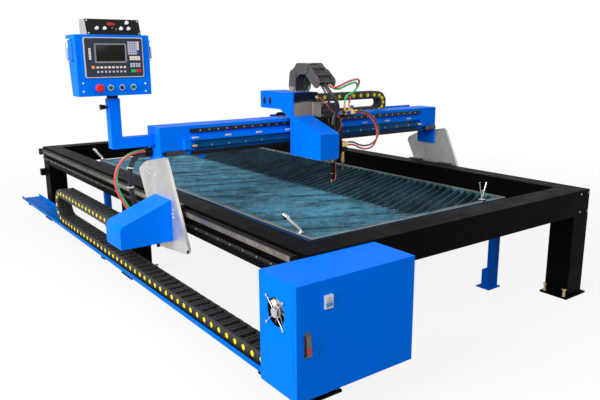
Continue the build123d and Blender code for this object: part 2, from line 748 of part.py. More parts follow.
def rack_outline(length, phase, back):
    """(u, v) points of a rack with its teeth down: v is 0 at the pitch line, a gap lies at phase."""
    pitch = math.pi * GEAR_MODULE
    slope = math.tan(math.radians(PRESSURE_ANGLE))
    half_tooth = (pitch / 2 - BACKLASH) / 2
    tip = half_tooth - GEAR_MODULE * slope
    root = half_tooth + DEDENDUM * slope
    first = math.ceil((-length / 2 + pitch - phase) / pitch - 0.5)
    last = math.floor((length / 2 - pitch - phase) / pitch - 0.5)
    points = [(-length / 2, back), (-length / 2, DEDENDUM)]
    for k in range(first, last + 1):
        centre = phase + (k + 0.5) * pitch
        points += [
            (centre - root, DEDENDUM), (centre - tip, -GEAR_MODULE),
            (centre + tip, -GEAR_MODULE), (centre + root, DEDENDUM),
        ]
    return points + [(length / 2, DEDENDUM), (length / 2, back)]


def gear_face():
    """Outline of the pinion, a tooth pointing along +Y, with involute flanks in short chords."""
    base = pinion_r * math.cos(math.radians(PRESSURE_ANGLE))
    tip = pinion_r + GEAR_MODULE
    root = pinion_r - DEDENDUM

    def involute(r):
        angle = math.acos(min(1.0, base / r))
        return math.tan(angle) - angle

    at_pitch = math.pi / (2 * PINION_TEETH) - BACKLASH / (2 * pinion_r) + involute(pinion_r)
    flank = [(root, at_pitch), (base, at_pitch)]
    for r in ((base + pinion_r) / 2, pinion_r, (pinion_r + tip) / 2, tip):
        flank.append((r, at_pitch - involute(r)))
    points = []
    for k in range(PINION_TEETH):
        centre = math.pi / 2 - 2 * math.pi * k / PINION_TEETH
        points += [(r * math.cos(centre + a), r * math.sin(centre + a)) for r, a in flank]
        points += [(r * math.cos(centre - a), r * math.sin(centre - a)) for r, a in reversed(flank)]
    return make_face(Polyline(*points, close=True))


def drive_racks():
    outline = rack_outline(2 * (half_length - RAIL_END_GAP), DRIVE_Y, RACK_BACK)
    pitch_z = FRAME_TOP - RACK_DROP
    rack = prism_x([(u, pitch_z + v) for u, v in outline], half_width, half_width + RACK_DEPTH)
    return group(rack, flipped(rack))


def drive_pinions():
    """The two pinions on one line across the table, each with its shaft through the side plate."""
    middle = half_width + RACK_DEPTH / 2
    gear = extrude(gear_face(), PINION_WIDTH / 2, both=True)
    gear = Pos(middle, DRIVE_Y, drive_z) * Rot(90, 90, 0) * gear
    shaft = rod((middle, DRIVE_Y, drive_z), (plate_outer + GEARBOX_LENGTH / 2, DRIVE_Y, drive_z), SHAFT_R)
    right = gear + shaft
    return group(right, flipped(right))


def bed_frame():
    """Welded bed: edge tubes, bearers along the bed under the slats, and corner legs with lifting sockets."""
    half_w, half_l = BED_WIDTH / 2, BED_LENGTH / 2
    low = BED_TOP - BED_RAIL_HEIGHT
    bearing = BED_TOP - SLAT_HEIGHT
    pieces = []
    for side in (-1, 1):
        edge = side * half_w
        inner = side * (half_w - BED_TUBE)
        pieces.append(tube(min(edge, inner), max(edge, inner), BED_Y - half_l, BED_Y + half_l,
                           low, BED_TOP, BED_LEG_WALL))
        y = BED_Y + side * half_l
        y_in = BED_Y + side * (half_l - BED_TUBE)
        pieces.append(tube(BED_TUBE - half_w, half_w - BED_TUBE, min(y, y_in), max(y, y_in),
                           low, BED_TOP, BED_LEG_WALL))
    spacing = (BED_WIDTH - BED_TUBE) / (BED_BEARERS + 1)
    for k in range(BED_BEARERS):
        x = -half_w + BED_TUBE / 2 + spacing * (k + 1)
        run = half_l - BED_TUBE
        pieces.append(tube(x - BED_TUBE / 2, x + BED_TUBE / 2, BED_Y - run, BED_Y + run,
                           bearing - BED_TUBE, bearing, BED_LEG_WALL))
    s = BED_LEG_SIDE / 2
    i = s - BED_LEG_WALL
    for side in (-1, 1):
        for end in (-1, 1):
            x = side * (half_w - s)
            y = BED_Y + end * (half_l - BED_LEG_INSET - s)
            post = block(x - s, x + s, y - s, y + s, BED_PLATE_THICK, low)
            post -= block(x - i, x + i, y - i, y + i, BED_PLATE_THICK, low + OVERCUT)
            plate = block(side * half_w, side * (half_w - BED_PLATE_WIDTH),
                          y - BED_PLATE_DEPTH / 2, y + BED_PLATE_DEPTH / 2, 0, BED_PLATE_THICK)
            x -= side * BED_LEG_SIDE
            socket = block(x - s, x + s, y - s, y + s, BED_PLATE_THICK, SOCKET_HEIGHT)
            socket -= block(x - i, x + i, y - i, y + i, BED_PLATE_THICK, SOCKET_HEIGHT + OVERCUT)
            pieces.append(post + plate + socket)
    return group(*pieces)


def slats():
    """Upright strips in a chevron: each half of the bed has its own slant, with the point to the front."""
    reach = BED_WIDTH / 2 - BED_TUBE - SEAT_CLEAR
    front = BED_Y - BED_LENGTH / 2 + BED_TUBE + SEAT_CLEAR
    back = BED_Y + BED_LENGTH / 2 - BED_TUBE - SEAT_CLEAR
    slope = math.tan(math.radians(SLAT_ANGLE))
    across = SLAT_THICK / math.cos(math.radians(SLAT_ANGLE))
    low = BED_TOP - SLAT_HEIGHT
    strips = []
    start = front - reach * slope
    for k in range(int((back - start) / SLAT_PITCH) + 1):
        foot = start + k * SLAT_PITCH
        x0 = max(SLAT_THICK, (front - foot) / slope)
        x1 = min(reach, (back - across - foot) / slope)
        if x1 - x0 < SLAT_SHORTEST:
            continue
        for side in (-1, 1):
            corners = [(x0, foot + x0 * slope), (x1, foot + x1 * slope),
                       (x1, foot + x1 * slope + across), (x0, foot + x0 * slope + across)]
            outline = Polyline(*[(side * x, y, low) for x, y in corners], close=True)
            strips.append(extrude(make_face(outline), SLAT_HEIGHT, dir=(0, 0, 1)))
    return group(*strips)


def chain_link(side, bar_length, bar_heights, width, plate):
    """One link with its length along X: an outline for both side plates, joined by bars across the chain."""
    cheek = extrude(side, plate, dir=(0, 1, 0))
    link = Pos(0, -width / 2, 0) * cheek + Pos(0, width / 2 - plate, 0) * cheek
    half = bar_length / 2
    for z in bar_heights:
        link += block(-half, half, plate / 2 - width / 2, width / 2 - plate / 2, z, z + CHAIN_BAR)
    return link


def straight_links(length, pitch, height, width, plate):
    """Links along +X from 0 to length, a whole number of them."""
    count = max(1, round(length / pitch))
    step = length / count
    side = Plane.XZ * Rectangle(step - CHAIN_GAP, height)
    bars = (CHAIN_BAR_INSET - height / 2, height / 2 - CHAIN_BAR - CHAIN_BAR_INSET)
    link = chain_link(side, step * CHAIN_BAR_SHARE, bars, width, plate)
    return [Pos((k + 0.5) * step, 0, 0) * link for k in range(count)]


def bend_links(radius, height, width, plate):
    """Links of a half turn that starts along +X at the origin and ends above it, each a sector of a ring."""
    turn = 180 / BEND_LINKS
    half = math.radians(turn / 2)
    inner, outer = radius - height / 2, radius + height / 2
    apex = CHAIN_GAP / 2 / math.sin(half)
    reach = 2 * outer
    wedge = Polyline((0, -apex), (reach * math.sin(half), -apex - reach * math.cos(half)),
                     (-reach * math.sin(half), -apex - reach * math.cos(half)), close=True)
    side = Plane.XZ * ((Circle(outer) - Circle(inner)) & make_face(wedge))
    bar_length = 2 * inner * math.sin(half) * CHAIN_BAR_SHARE
    sag = outer - math.sqrt(outer ** 2 - bar_length ** 2 / 4)
    bars = (sag + CHAIN_BAR_INSET - outer, -inner - CHAIN_BAR - CHAIN_BAR_INSET)
    link = chain_link(side, bar_length, bars, width, plate)
    return [Pos(0, 0, radius) * Rot(0, -(k + 0.5) * turn, 0) * link for k in range(BEND_LINKS)]


def travel_chain():
    """The chain beside the table: lower run in the tray, half turn, upper run to the gantry."""
    sizes = (CHAIN_HEIGHT, CHAIN_WIDTH, CHAIN_PLATE)
    lower = straight_links(CHAIN_BEND_Y - chain_start_y, CHAIN_PITCH, *sizes)
    bend = bend_links(CHAIN_BEND_R, *sizes)
    upper = straight_links(CHAIN_BEND_Y - CHAIN_END_Y, CHAIN_PITCH, *sizes)
    start = Pos(chain_x, chain_start_y, chain_low_z)
    keep("travel_chain_lower", group(*[start * to_back * s for s in lower]))
    bend = [Pos(chain_x, CHAIN_BEND_Y, chain_low_z) * to_back * s for s in bend]
    keep("travel_bend_lower", group(*bend[:BEND_LOWER_LINKS]))
    keep("travel_bend_upper", group(*bend[BEND_LOWER_LINKS:]))
    keep("travel_chain_upper", group(*[Pos(chain_x, CHAIN_END_Y, chain_high_z) * to_back * s for s in upper]))


def chain_tray():
    """A folded channel on arms from the left legs."""
    x0, x1 = chain_x - TRAY_WIDTH / 2, chain_x + TRAY_WIDTH / 2
    t = TRAY_SHEET
    top = TRAY_BOTTOM + TRAY_LIP
    outline = [(x0, TRAY_BOTTOM), (x1, TRAY_BOTTOM), (x1, top), (x1 - t, top), (x1 - t, TRAY_BOTTOM + t),
               (x0 + t, TRAY_BOTTOM + t), (x0 + t, top), (x0, top)]
    tray = prism_y(outline, cabinet_back, half_length + TRAY_OVERRUN)
    arms = []
    for y in (LEG_SIDE / 2 - half_length, 0, half_length - LEG_SIDE / 2):
        arms.append(block(x0, -half_width, y - TRAY_ARM_WIDTH / 2, y + TRAY_ARM_WIDTH / 2,
                          TRAY_BOTTOM - TRAY_ARM_THICK, TRAY_BOTTOM))
    return group(tray, *arms)


def fan_guard():
    """Four wire arms from a round plate in the middle, on pads at the corners of the fan."""
    x = cabinet_x - GUARD_STAND
    corner = FAN_SIDE / 2 - GUARD_PAD_R
    guard = rod((x - GUARD_PROUD, fan_y, fan_z), (x + GUARD_PROUD, fan_y, fan_z), FAN_HUB_R)
    for y, z in ((1, 1), (1, -1), (-1, 1), (-1, -1)):
        far = (fan_y + y * corner, fan_z + z * corner)
        guard += rod((x, fan_y, fan_z), (x, *far), GUARD_WIRE_R)
        guard += rod((cabinet_x, *far), (x - GUARD_PROUD, *far), GUARD_PAD_R)
    return guard


def cabinet_shell():
    """Folded steel box open to the front, with the fan behind its left wall and the fan guard outside."""
    t = CABINET_SHEET
    shell = block(cabinet_x, cabinet_right, shell_front, cabinet_back, CABINET_BOTTOM, cabinet_top)
    shell -= block(cabinet_x + t, cabinet_right - t, shell_front - OVERCUT, cabinet_back - t,
                   CABINET_BOTTOM + t, cabinet_top - t)
    shell -= rod((cabinet_x - OVERCUT, fan_y, fan_z), (cabinet_x + t + OVERCUT, fan_y, fan_z), FAN_BORE_R)
    for z in hinge_heights:
        leaf = block(cabinet_right, cabinet_right + HINGE_LEAF, shell_front, shell_front + HINGE_LEAF_DEPTH,
                     z - HINGE_LENGTH / 2, z)
        knuckle = rod((hinge_x, shell_front, z - HINGE_LENGTH / 2), (hinge_x, shell_front, z), HINGE_R)
        pin_top = z + HINGE_LENGTH / 2
        pin = rod((hinge_x, shell_front, z - HINGE_R), (hinge_x, shell_front, pin_top), HINGE_PIN_R)
        shell += leaf + knuckle + pin
    x0, x1 = cabinet_x + t, cabinet_x + t + FAN_DEPTH
    s = FAN_SIDE / 2
    frame = block(x0, x1, fan_y - s, fan_y + s, fan_z - s, fan_z + s)
    frame -= rod((x0 - OVERCUT, fan_y, fan_z), (x1 + OVERCUT, fan_y, fan_z), FAN_BORE_R)
    reach = s - SPIDER_INSET
    w = SPIDER_WIDTH / 2
    spider = block(x1 - SPIDER_THICK, x1, fan_y - reach, fan_y + reach, fan_z - w, fan_z + w)
    spider += block(x1 - SPIDER_THICK, x1, fan_y - w, fan_y + w, fan_z - reach, fan_z + reach)
    spider += rod((x0 + 2 * FAN_ROTOR_GAP, fan_y, fan_z), (x1, fan_y, fan_z), HINGE_PIN_R)
    return group(shell, frame + spider, fan_guard())


def fan_rotor():
    """Hub and pitched blades on the fan's shaft."""
    x0 = cabinet_x + CABINET_SHEET + FAN_ROTOR_GAP
    x1 = cabinet_x + CABINET_SHEET + FAN_DEPTH - SPIDER_THICK - SEAT_CLEAR
    rotor = rod((x0, fan_y, fan_z), (x1, fan_y, fan_z), FAN_HUB_R)
    tip = FAN_BORE_R - FAN_TIP_GAP
    middle = Pos((x0 + x1) / 2, fan_y, fan_z)
    blade = Box(FAN_BLADE_THICK, FAN_BLADE_WIDTH, tip - FAN_BLADE_ROOT)
    blade = Pos(0, 0, (FAN_BLADE_ROOT + tip) / 2) * blade
    for k in range(FAN_BLADES):
        rotor += middle * Rot(360 * k / FAN_BLADES, 0, 0) * Rot(0, 0, FAN_BLADE_ANGLE) * blade
    rotor = rotor & rod((x0, fan_y, fan_z), (x1, fan_y, fan_z), tip)
    bore = rod((x0 - OVERCUT, fan_y, fan_z), (x1 + OVERCUT, fan_y, fan_z), HINGE_PIN_R + RUN_CLEAR)
    return rotor - bore


def control_electronics():
    """Mounting plate with a power supply, three drives, a contactor and terminals."""
    plate_y = cabinet_back - 2 * CABINET_SHEET
    x0, x1 = cabinet_x + ELECTRONICS_MARGIN, cabinet_right - ELECTRONICS_MARGIN
    z0, z1 = CABINET_BOTTOM + ELECTRONICS_MARGIN, cabinet_top - ELECTRONICS_MARGIN
    pieces = [block(x0, x1, plate_y, cabinet_back - CABINET_SHEET, z0, z1)]
    top = z1 - ELECTRONICS_GAP
    front = plate_y - DRIVE_UNIT_DEPTH
    for k in range(DRIVE_UNITS):
        x = x1 - (DRIVE_UNITS - k) * DRIVE_UNIT_PITCH
        unit = block(x, x + DRIVE_UNIT_WIDTH, front, plate_y, top - DRIVE_UNIT_HEIGHT, top)
        for slot in range(1, DRIVE_SLOTS + 1):
            z = top - slot * DRIVE_SLOT_PITCH
            unit -= block(x - OVERCUT, x + DRIVE_SLOT_WIDTH, front - OVERCUT, front + DRIVE_SLOT_DEPTH,
                          z, z + DRIVE_SLOT_HEIGHT)
        pieces.append(unit)
    low = z0 + ELECTRONICS_GAP
    pieces.append(block(x1 - SUPPLY_WIDTH, x1, plate_y - SUPPLY_DEPTH, plate_y, low, low + SUPPLY_HEIGHT))
    left = x0 + CONTACTOR_LEFT
    low = z0 + ELECTRONICS_MARGIN
    pieces.append(block(left, left + CONTACTOR_WIDTH, plate_y - CONTACTOR_DEPTH, plate_y,
                        low, low + CONTACTOR_HEIGHT))
    low = z0 + TERMINAL_RISE
    pieces.append(block(left, left + TERMINAL_WIDTH, plate_y - TERMINAL_DEPTH, plate_y,
                        low, low + TERMINAL_HEIGHT))
    return group(*pieces)


def cabinet_door():
    """Front panel with folded edges and hinge leaves, the latch plate and the breaker's body."""
    t = CABINET_SHEET
    back = cabinet_front + DOOR_DEPTH
    door = block(cabinet_x, cabinet_right, cabinet_front, back, CABINET_BOTTOM, cabinet_top)
    door -= block(cabinet_x + t, cabinet_right - t, cabinet_front + t, back + OVERCUT,
                  CABINET_BOTTOM + t, cabinet_top - t)
    for z in hinge_heights:
        z0, z1 = z + RUN_CLEAR, z + HINGE_LENGTH / 2
        leaf = block(cabinet_right, cabinet_right + HINGE_LEAF, cabinet_front + t, back, z0, z1)
        knuckle = rod((hinge_x, shell_front, z0), (hinge_x, shell_front, z1), HINGE_R)
        strap = block(cabinet_right, hinge_x + HINGE_R - HINGE_STRAP, back - HINGE_STRAP, shell_front, z0, z1)
        bore = rod((hinge_x, shell_front, z0 - OVERCUT), (hinge_x, shell_front, z1 + OVERCUT),
                   HINGE_PIN_R + RUN_CLEAR)
        door += leaf + knuckle + strap - bore
    latch_left, latch_right = latch_x - LATCH_WIDTH / 2, latch_x + LATCH_WIDTH / 2
    latch_base = block(latch_left, latch_right, latch_face, cabinet_front,
                       latch_z - LATCH_HEIGHT / 2, latch_z + LATCH_HEIGHT / 2)
    ear = LATCH_EAR - SEAT_CLEAR
    for x in (latch_left, latch_right - ear):
        latch_base += block(x, x + ear, latch_pin_y - LATCH_EAR_RIM, latch_face,
                            latch_pin_z - LATCH_EAR_RIM, latch_pin_z + LATCH_EAR_RIM)
    latch_base += rod((latch_left, latch_pin_y, latch_pin_z), (latch_right, latch_pin_y, latch_pin_z),
                      LATCH_PIN_R)
    x0, x1 = breaker_x - BREAKER_WIDTH / 2, breaker_x + BREAKER_WIDTH / 2
    z0, z1 = breaker_z - BREAKER_HEIGHT / 2, breaker_z + BREAKER_HEIGHT / 2
    front = cabinet_front - BREAKER_PROUD
    breaker = block(x0, x1, front, cabinet_front, z0, z1)
    breaker -= block(x0 + BREAKER_RIM, x1 - BREAKER_RIM, front - OVERCUT, cabinet_front - OVERCUT,
                     toggle_z - TOGGLE_SLOT / 2, toggle_z + TOGGLE_SLOT / 2)
    return group(door, latch_base, breaker)


def door_latch():
    """Lift handle that lies on the latch plate and swings out on the pin at its lower end."""
    x0, x1 = latch_x - LATCH_WIDTH / 2 + LATCH_EAR, latch_x + LATCH_WIDTH / 2 - LATCH_EAR
    back = latch_face - SEAT_CLEAR
    low, high = latch_z - LATCH_HEIGHT / 2 + LATCH_END_GAP, latch_z + LATCH_HEIGHT / 2 - LATCH_END_GAP
    outline = [(back - out, low + rise) for out, rise in LATCH_LOW_EDGE]
    outline += [(back - out, high - drop) for out, drop in LATCH_HIGH_EDGE]
    pin = rod((x0 - OVERCUT, latch_pin_y, latch_pin_z), (x1 + OVERCUT, latch_pin_y, latch_pin_z),
              LATCH_PIN_R + RUN_CLEAR)
    return prism_x(outline, x0, x1) - pin


def breaker_toggle():
    """The rocker of the breaker, on a pin across its slot."""
    half = BREAKER_WIDTH / 2 - BREAKER_RIM - TOGGLE_SIDE_GAP
    x0, x1 = breaker_x - half, breaker_x + half
    y = cabinet_front - BREAKER_PROUD / 2
    drum = rod((x0, y, toggle_z), (x1, y, toggle_z), BREAKER_PROUD / 2 - TOGGLE_DRUM_GAP)
    return drum + block(x0 + TOGGLE_SIDE_GAP, x1 - TOGGLE_SIDE_GAP, y - TOGGLE_REACH, y,
                        toggle_z - TOGGLE_THICK / 2, toggle_z + TOGGLE_THICK / 2)


def cross_chain():
    """The chain behind the gantry: lower run in its tray, half turn, upper run to the carriage arm."""
    sizes = (CROSS_CHAIN_HEIGHT, CROSS_CHAIN_WIDTH, CROSS_CHAIN_PLATE)
    start = ARM_X + SEAT_CLEAR
    lower = straight_links(CROSS_BEND_X - CROSS_FIXED_X, CROSS_CHAIN_PITCH, *sizes)
    bend = bend_links(CROSS_BEND_R, *sizes)
    upper = straight_links(CROSS_BEND_X - start, CROSS_CHAIN_PITCH, *sizes)
    keep("cross_chain_lower", group(*[Pos(CROSS_FIXED_X, cross_chain_y, cross_low_z) * s for s in lower]))
    bend = [Pos(CROSS_BEND_X, cross_chain_y, cross_low_z) * s for s in bend]
    keep("cross_bend_lower", group(*bend[:BEND_LOWER_LINKS]))
    keep("cross_bend_upper", group(*bend[BEND_LOWER_LINKS:]))
    keep("cross_chain_upper", group(*[Pos(start, cross_chain_y, cross_high_z) * s for s in upper]))


def gantry_beam():
    """Hollow beam with end plates, the ledge under the upper rail and the chain tray behind it."""
    beam = block(-gantry_half, gantry_half, GANTRY_FRONT, gantry_back, GANTRY_BOTTOM, gantry_top)
    w = GANTRY_WALL
    beam -= block(-gantry_half + w, gantry_half - w, GANTRY_FRONT + w, gantry_back - w,
                  GANTRY_BOTTOM + w, gantry_top - w)
    middle = (GANTRY_FRONT + gantry_back) / 2
    beam -= rod((0, middle, GANTRY_BOTTOM - OVERCUT), (0, middle, GANTRY_BOTTOM + w + OVERCUT), VENT_R)
    end = block(gantry_half, plate_inner, GANTRY_FRONT, gantry_back,
                GANTRY_BOTTOM - END_PLATE_DROP, gantry_top)
    beam += end + flipped(end)
    beam += block(-CROSS_RAIL_HALF, CROSS_RAIL_HALF, GANTRY_FRONT - LEDGE_DEPTH, GANTRY_FRONT,
                  LEDGE_BOTTOM, LEDGE_BOTTOM + LEDGE_HEIGHT)
    low = gantry_top - CROSS_TRAY_DROP
    left = CROSS_FIXED_X - CROSS_CHAIN_PITCH
    far = gantry_back + CROSS_TRAY_WIDTH
    tray = block(left, gantry_half, gantry_back, far, low, low + TRAY_SHEET)
    tray += block(left, gantry_half, far - TRAY_SHEET, far, low, low + CROSS_TRAY_LIP)
    return beam + tray


def side_plates():
    """Aluminium plates that carry the gantry on the rails, and the bracket that holds the chain's end."""
    outline = FilletPolyline(*[(plate_inner, y, z) for y, z in PLATE_CORNERS], radius=PLATE_ROUND, close=True)
    plate = extrude(make_face(outline), PLATE_THICK, dir=(1, 0, 0))
    plate -= rod((plate_inner - OVERCUT, DRIVE_Y, drive_z), (plate_outer + OVERCUT, DRIVE_Y, drive_z),
                 SHAFT_R + FACE_CLEAR)
    x0, x1 = chain_x - CHAIN_WIDTH / 2, chain_x + CHAIN_WIDTH / 2
    z0, z1 = chain_high_z - CHAIN_HEIGHT / 2, chain_high_z + CHAIN_HEIGHT / 2
    back = CHAIN_END_Y - CHAIN_COMB_THICK
    comb = z1 + CHAIN_COMB_GAP
    bracket = block(x0, x1, back, CHAIN_END_Y, z0, comb + CHAIN_COMB_THICK)
    bracket += block(x0, x1, back, CHAIN_END_Y + CHAIN_COMB_DEPTH, comb, comb + CHAIN_COMB_THICK)
    bracket += block(chain_x, -plate_outer, CHAIN_END_Y - CHAIN_END_ARM, CHAIN_END_Y,
                     chain_high_z - CHAIN_END_ARM_HEIGHT / 2, chain_high_z + CHAIN_END_ARM_HEIGHT / 2)
    return group(plate, flipped(plate), bracket)


def bearing_blocks():
    """Two ball blocks on each rail, bolted to the inside of the side plate."""
    blocks = []
    for end in (-1, 1):
        y = BLOCK_Y + end * BLOCK_SPREAD / 2
        piece = block(half_width + FACE_CLEAR, plate_inner, y - BLOCK_LENGTH / 2, y + BLOCK_LENGTH / 2,
                      rail_z - BLOCK_HEIGHT / 2, rail_z + BLOCK_HEIGHT / 2)
        half = RAIL_HEIGHT / 2 + RAIL_CLEAR
        piece -= block(half_width, half_width + RAIL_DEPTH + RAIL_CLEAR, y - BLOCK_LENGTH, y + BLOCK_LENGTH,
                       rail_z - half, rail_z + half)
        blocks.append(piece)
    right = group(*blocks)
    return group(right, flipped(right))


def motor_cover(high, low):
    """A folded cover, open to the side plate and below, whose top falls away from the plate."""
    t = COVER_SHEET
    x1 = plate_outer + COVER_REACH
    bottom = drive_z - COVER_DROP
    sharp = COVER_SHARP
    corners = [(plate_outer, bottom), (x1, bottom), (x1, low), (plate_outer, high)]
    outline = FilletPolyline(*[(x, COVER_FRONT, z) for x, z in corners],
                             radius=[sharp, sharp, COVER_ROUND, sharp], close=True)
    shell = extrude(make_face(outline), COVER_BACK - COVER_FRONT, dir=(0, 1, 0))
    open_x, open_z = plate_outer - OVERCUT, bottom - OVERCUT
    corners = [(open_x, open_z), (x1 - t, open_z), (x1 - t, low - t), (open_x, high - t)]
    hollow = FilletPolyline(*[(x, COVER_FRONT + t, z) for x, z in corners],
                            radius=[sharp, sharp, COVER_ROUND - t, sharp], close=True)
    return shell - extrude(make_face(hollow), COVER_BACK - COVER_FRONT - 2 * t, dir=(0, 1, 0))


def motor_covers():
    """The cover over each drive motor; the right one is lower."""
    left_high, left_low = LEFT_COVER_RISE
    right_high, right_low = RIGHT_COVER_RISE
    left = motor_cover(drive_z + left_high, drive_z + left_low)
    return group(motor_cover(drive_z + right_high, drive_z + right_low), flipped(left))


def drive_motors():
    """Gearbox and servo motor on the outside of each side plate."""
    g, m = GEARBOX_SIDE / 2, MOTOR_SIDE / 2
    x1 = plate_outer + GEARBOX_LENGTH
    x2 = x1 + MOTOR_LENGTH
    unit = block(plate_outer, x1, DRIVE_Y - g, DRIVE_Y + g, drive_z - g, drive_z + g)
    unit += block(x1, x2, DRIVE_Y - m, DRIVE_Y + m, drive_z - m, drive_z + m)
    unit += rod((x2, DRIVE_Y, drive_z), (x2 + MOTOR_CAP_LENGTH, DRIVE_Y, drive_z), MOTOR_CAP_R)
    bore_end = plate_outer + GEARBOX_LENGTH / 2 + OVERCUT
    unit -= rod((plate_outer - OVERCUT, DRIVE_Y, drive_z), (bore_end, DRIVE_Y, drive_z), SHAFT_R + RUN_CLEAR)
    return group(unit, flipped(unit))


def cross_rails():
    """Two rails along the front of the gantry and the rack below them."""
    y0 = GANTRY_FRONT - CROSS_RAIL_DEPTH
    h = CROSS_RAIL_HEIGHT / 2
    upper = block(-CROSS_RAIL_HALF, CROSS_RAIL_HALF, y0, GANTRY_FRONT, UPPER_RAIL_Z - h, UPPER_RAIL_Z + h)
    lower = block(-LOWER_RAIL_HALF, LOWER_RAIL_HALF, y0, GANTRY_FRONT, LOWER_RAIL_Z - h, LOWER_RAIL_Z + h)
    outline = rack_outline(2 * CROSS_RAIL_HALF, CROSS_DRIVE_X, RACK_BACK)
    rack = prism_y([(u, cross_pitch_z + v) for u, v in outline], GANTRY_FRONT - RACK_DEPTH, GANTRY_FRONT)
    return group(upper, lower, rack)


def cross_pinion():
    gear = extrude(gear_face(), PINION_WIDTH / 2, both=True)
    middle = GANTRY_FRONT - RACK_DEPTH / 2 - SEAT_CLEAR
    gear = Pos(CROSS_DRIVE_X, middle, cross_pinion_z) * Rot(90, 0, 0) * gear
    tail = BACKPLATE_REAR - BACKPLATE_THICK - GEARBOX_LENGTH / 2
    return gear + rod((CROSS_DRIVE_X, middle, cross_pinion_z), (CROSS_DRIVE_X, tail, cross_pinion_z), SHAFT_R)


def end_stops():
    """A bracket with a bumper at each end of the cross rails, end shoes, homing sensor and cable gland."""
    pieces = []
    for side in (-1, 1):
        near, far = side * CROSS_RAIL_HALF, side * (CROSS_RAIL_HALF + STOP_LENGTH)
        body = block(near, far, GANTRY_FRONT - STOP_DEPTH, GANTRY_FRONT,
                     LOWER_RAIL_Z - STOP_LOW, LOWER_RAIL_Z + STOP_HIGH)
        body = fillet(body.edges().filter_by(Axis.Z), STOP_ROUND)
        tip = side * (LOWER_RAIL_HALF + BUMPER_GAP)
        bumper_y = GANTRY_FRONT - BUMPER_OUT
        body += rod((near, bumper_y, LOWER_RAIL_Z), (tip, bumper_y, LOWER_RAIL_Z), BUMPER_R)
        shoe_end = side * (gantry_half - SHOE_INSET)
        low = GANTRY_BOTTOM + SHOE_RISE
        shoe = block(shoe_end, shoe_end - side * SHOE_LENGTH, GANTRY_FRONT - STOP_DEPTH, GANTRY_FRONT,
                     low, low + SHOE_HEIGHT)
        pieces += [body, shoe]
    x = SENSOR_INSET - LOWER_RAIL_HALF
    y = GANTRY_FRONT + SENSOR_SETBACK
    z = GANTRY_BOTTOM - SENSOR_DROP / 2
    sensor = block(x - SENSOR_WIDTH / 2, x + SENSOR_WIDTH / 2, y, y + SENSOR_THICK,
                   GANTRY_BOTTOM - SENSOR_DROP, GANTRY_BOTTOM)
    sensor += rod((x, y, z), (x, y + SENSOR_REACH, z), SENSOR_R)
    gland = rod((-plate_inner, GLAND_Y, GLAND_Z), (gland_end, GLAND_Y, GLAND_Z), GLAND_R)
    return group(*pieces, sensor, gland)


def cord(points, radius):
    """A round line along straight runs joined by tangent arcs as large as the runs allow."""
    spots = [Vector(*p) for p in points]
    radii = []
    for a, b, c in zip(spots, spots[1:], spots[2:]):
        turn = math.radians((b - a).get_angle(c - b))
        radii.append(BEND_SHARE * min((b - a).length, (c - b).length) / math.tan(turn / 2))
    path = FilletPolyline(*spots, radius=radii)
    line = sweep(Plane(path @ 0, z_dir=path % 0) * Circle(radius), path=path)
    print(f"cord r {radius:g}: length {path.length:.0f}, least radius {min(radii):.0f}")
    return line


def pendant_post():
    """Bracket tube from the gantry's end and the upright post, open at the top for the swivel."""
    h = POST_SIDE / 2
    z0, z1 = ARM_TUBE_BOTTOM, ARM_TUBE_BOTTOM + POST_SIDE
    w = POST_WALL
    outer = block(post_x - h, -plate_inner, POST_Y - h, POST_Y + h, z0, z1)
    outer += block(post_x - h, post_x + h, POST_Y - h, POST_Y + h, z0, POST_TOP)
    outer -= block(post_x - h + w, OVERCUT - plate_inner, POST_Y - h + w, POST_Y + h - w, z0 + w, z1 - w)
    outer -= block(post_x - h + w, post_x + h - w, POST_Y - h + w, POST_Y + h - w, z0 + w, POST_TOP - 2 * w)
    outer -= rod((post_x, POST_Y, POST_TOP - 3 * w), (post_x, POST_Y, POST_TOP + OVERCUT), STUB_R + RUN_CLEAR)
    left = post_x - h
    outer -= rod((left - OVERCUT, POST_Y, LOCK_KNOB_Z), (left + w + OVERCUT, POST_Y, LOCK_KNOB_Z),
                 LOCK_STUD_R + RUN_CLEAR)
    return outer


def lock_knob():
    """Clamping screw with a tapered grip, in the left wall of the post."""
    x = post_x - POST_SIDE / 2
    neck = x - LOCK_KNOB_GAP
    stud = rod((x + POST_WALL, POST_Y, LOCK_KNOB_Z), (neck - LOCK_STUD_LAP, POST_Y, LOCK_KNOB_Z), LOCK_STUD_R)
    grip = Cone(LOCK_KNOB_NECK_R, LOCK_KNOB_R, LOCK_KNOB_LENGTH,
                align=(Align.CENTER, Align.CENTER, Align.MIN))
    return stud + Pos(neck, POST_Y, LOCK_KNOB_Z) * Rot(0, -90, 0) * grip


def pendant_handle(side):
    """A bent round bar on one side wall of the pendant's box."""
    wall = post_x + side * BOX_WIDTH / 2
    out = wall + side * HANDLE_REACH
    middle = BOX_BOTTOM + BOX_HEIGHT - HANDLE_DROP
    low, high = middle - HANDLE_SPAN / 2, middle + HANDLE_SPAN / 2
    corners = ((wall, low), (out, low), (out, high), (wall, high))
    line = FilletPolyline(*[(x, HANDLE_Y, z) for x, z in corners], radius=HANDLE_ROUND)
    return sweep(Plane(line @ 0, z_dir=line % 0) * Circle(HANDLE_R), path=line)


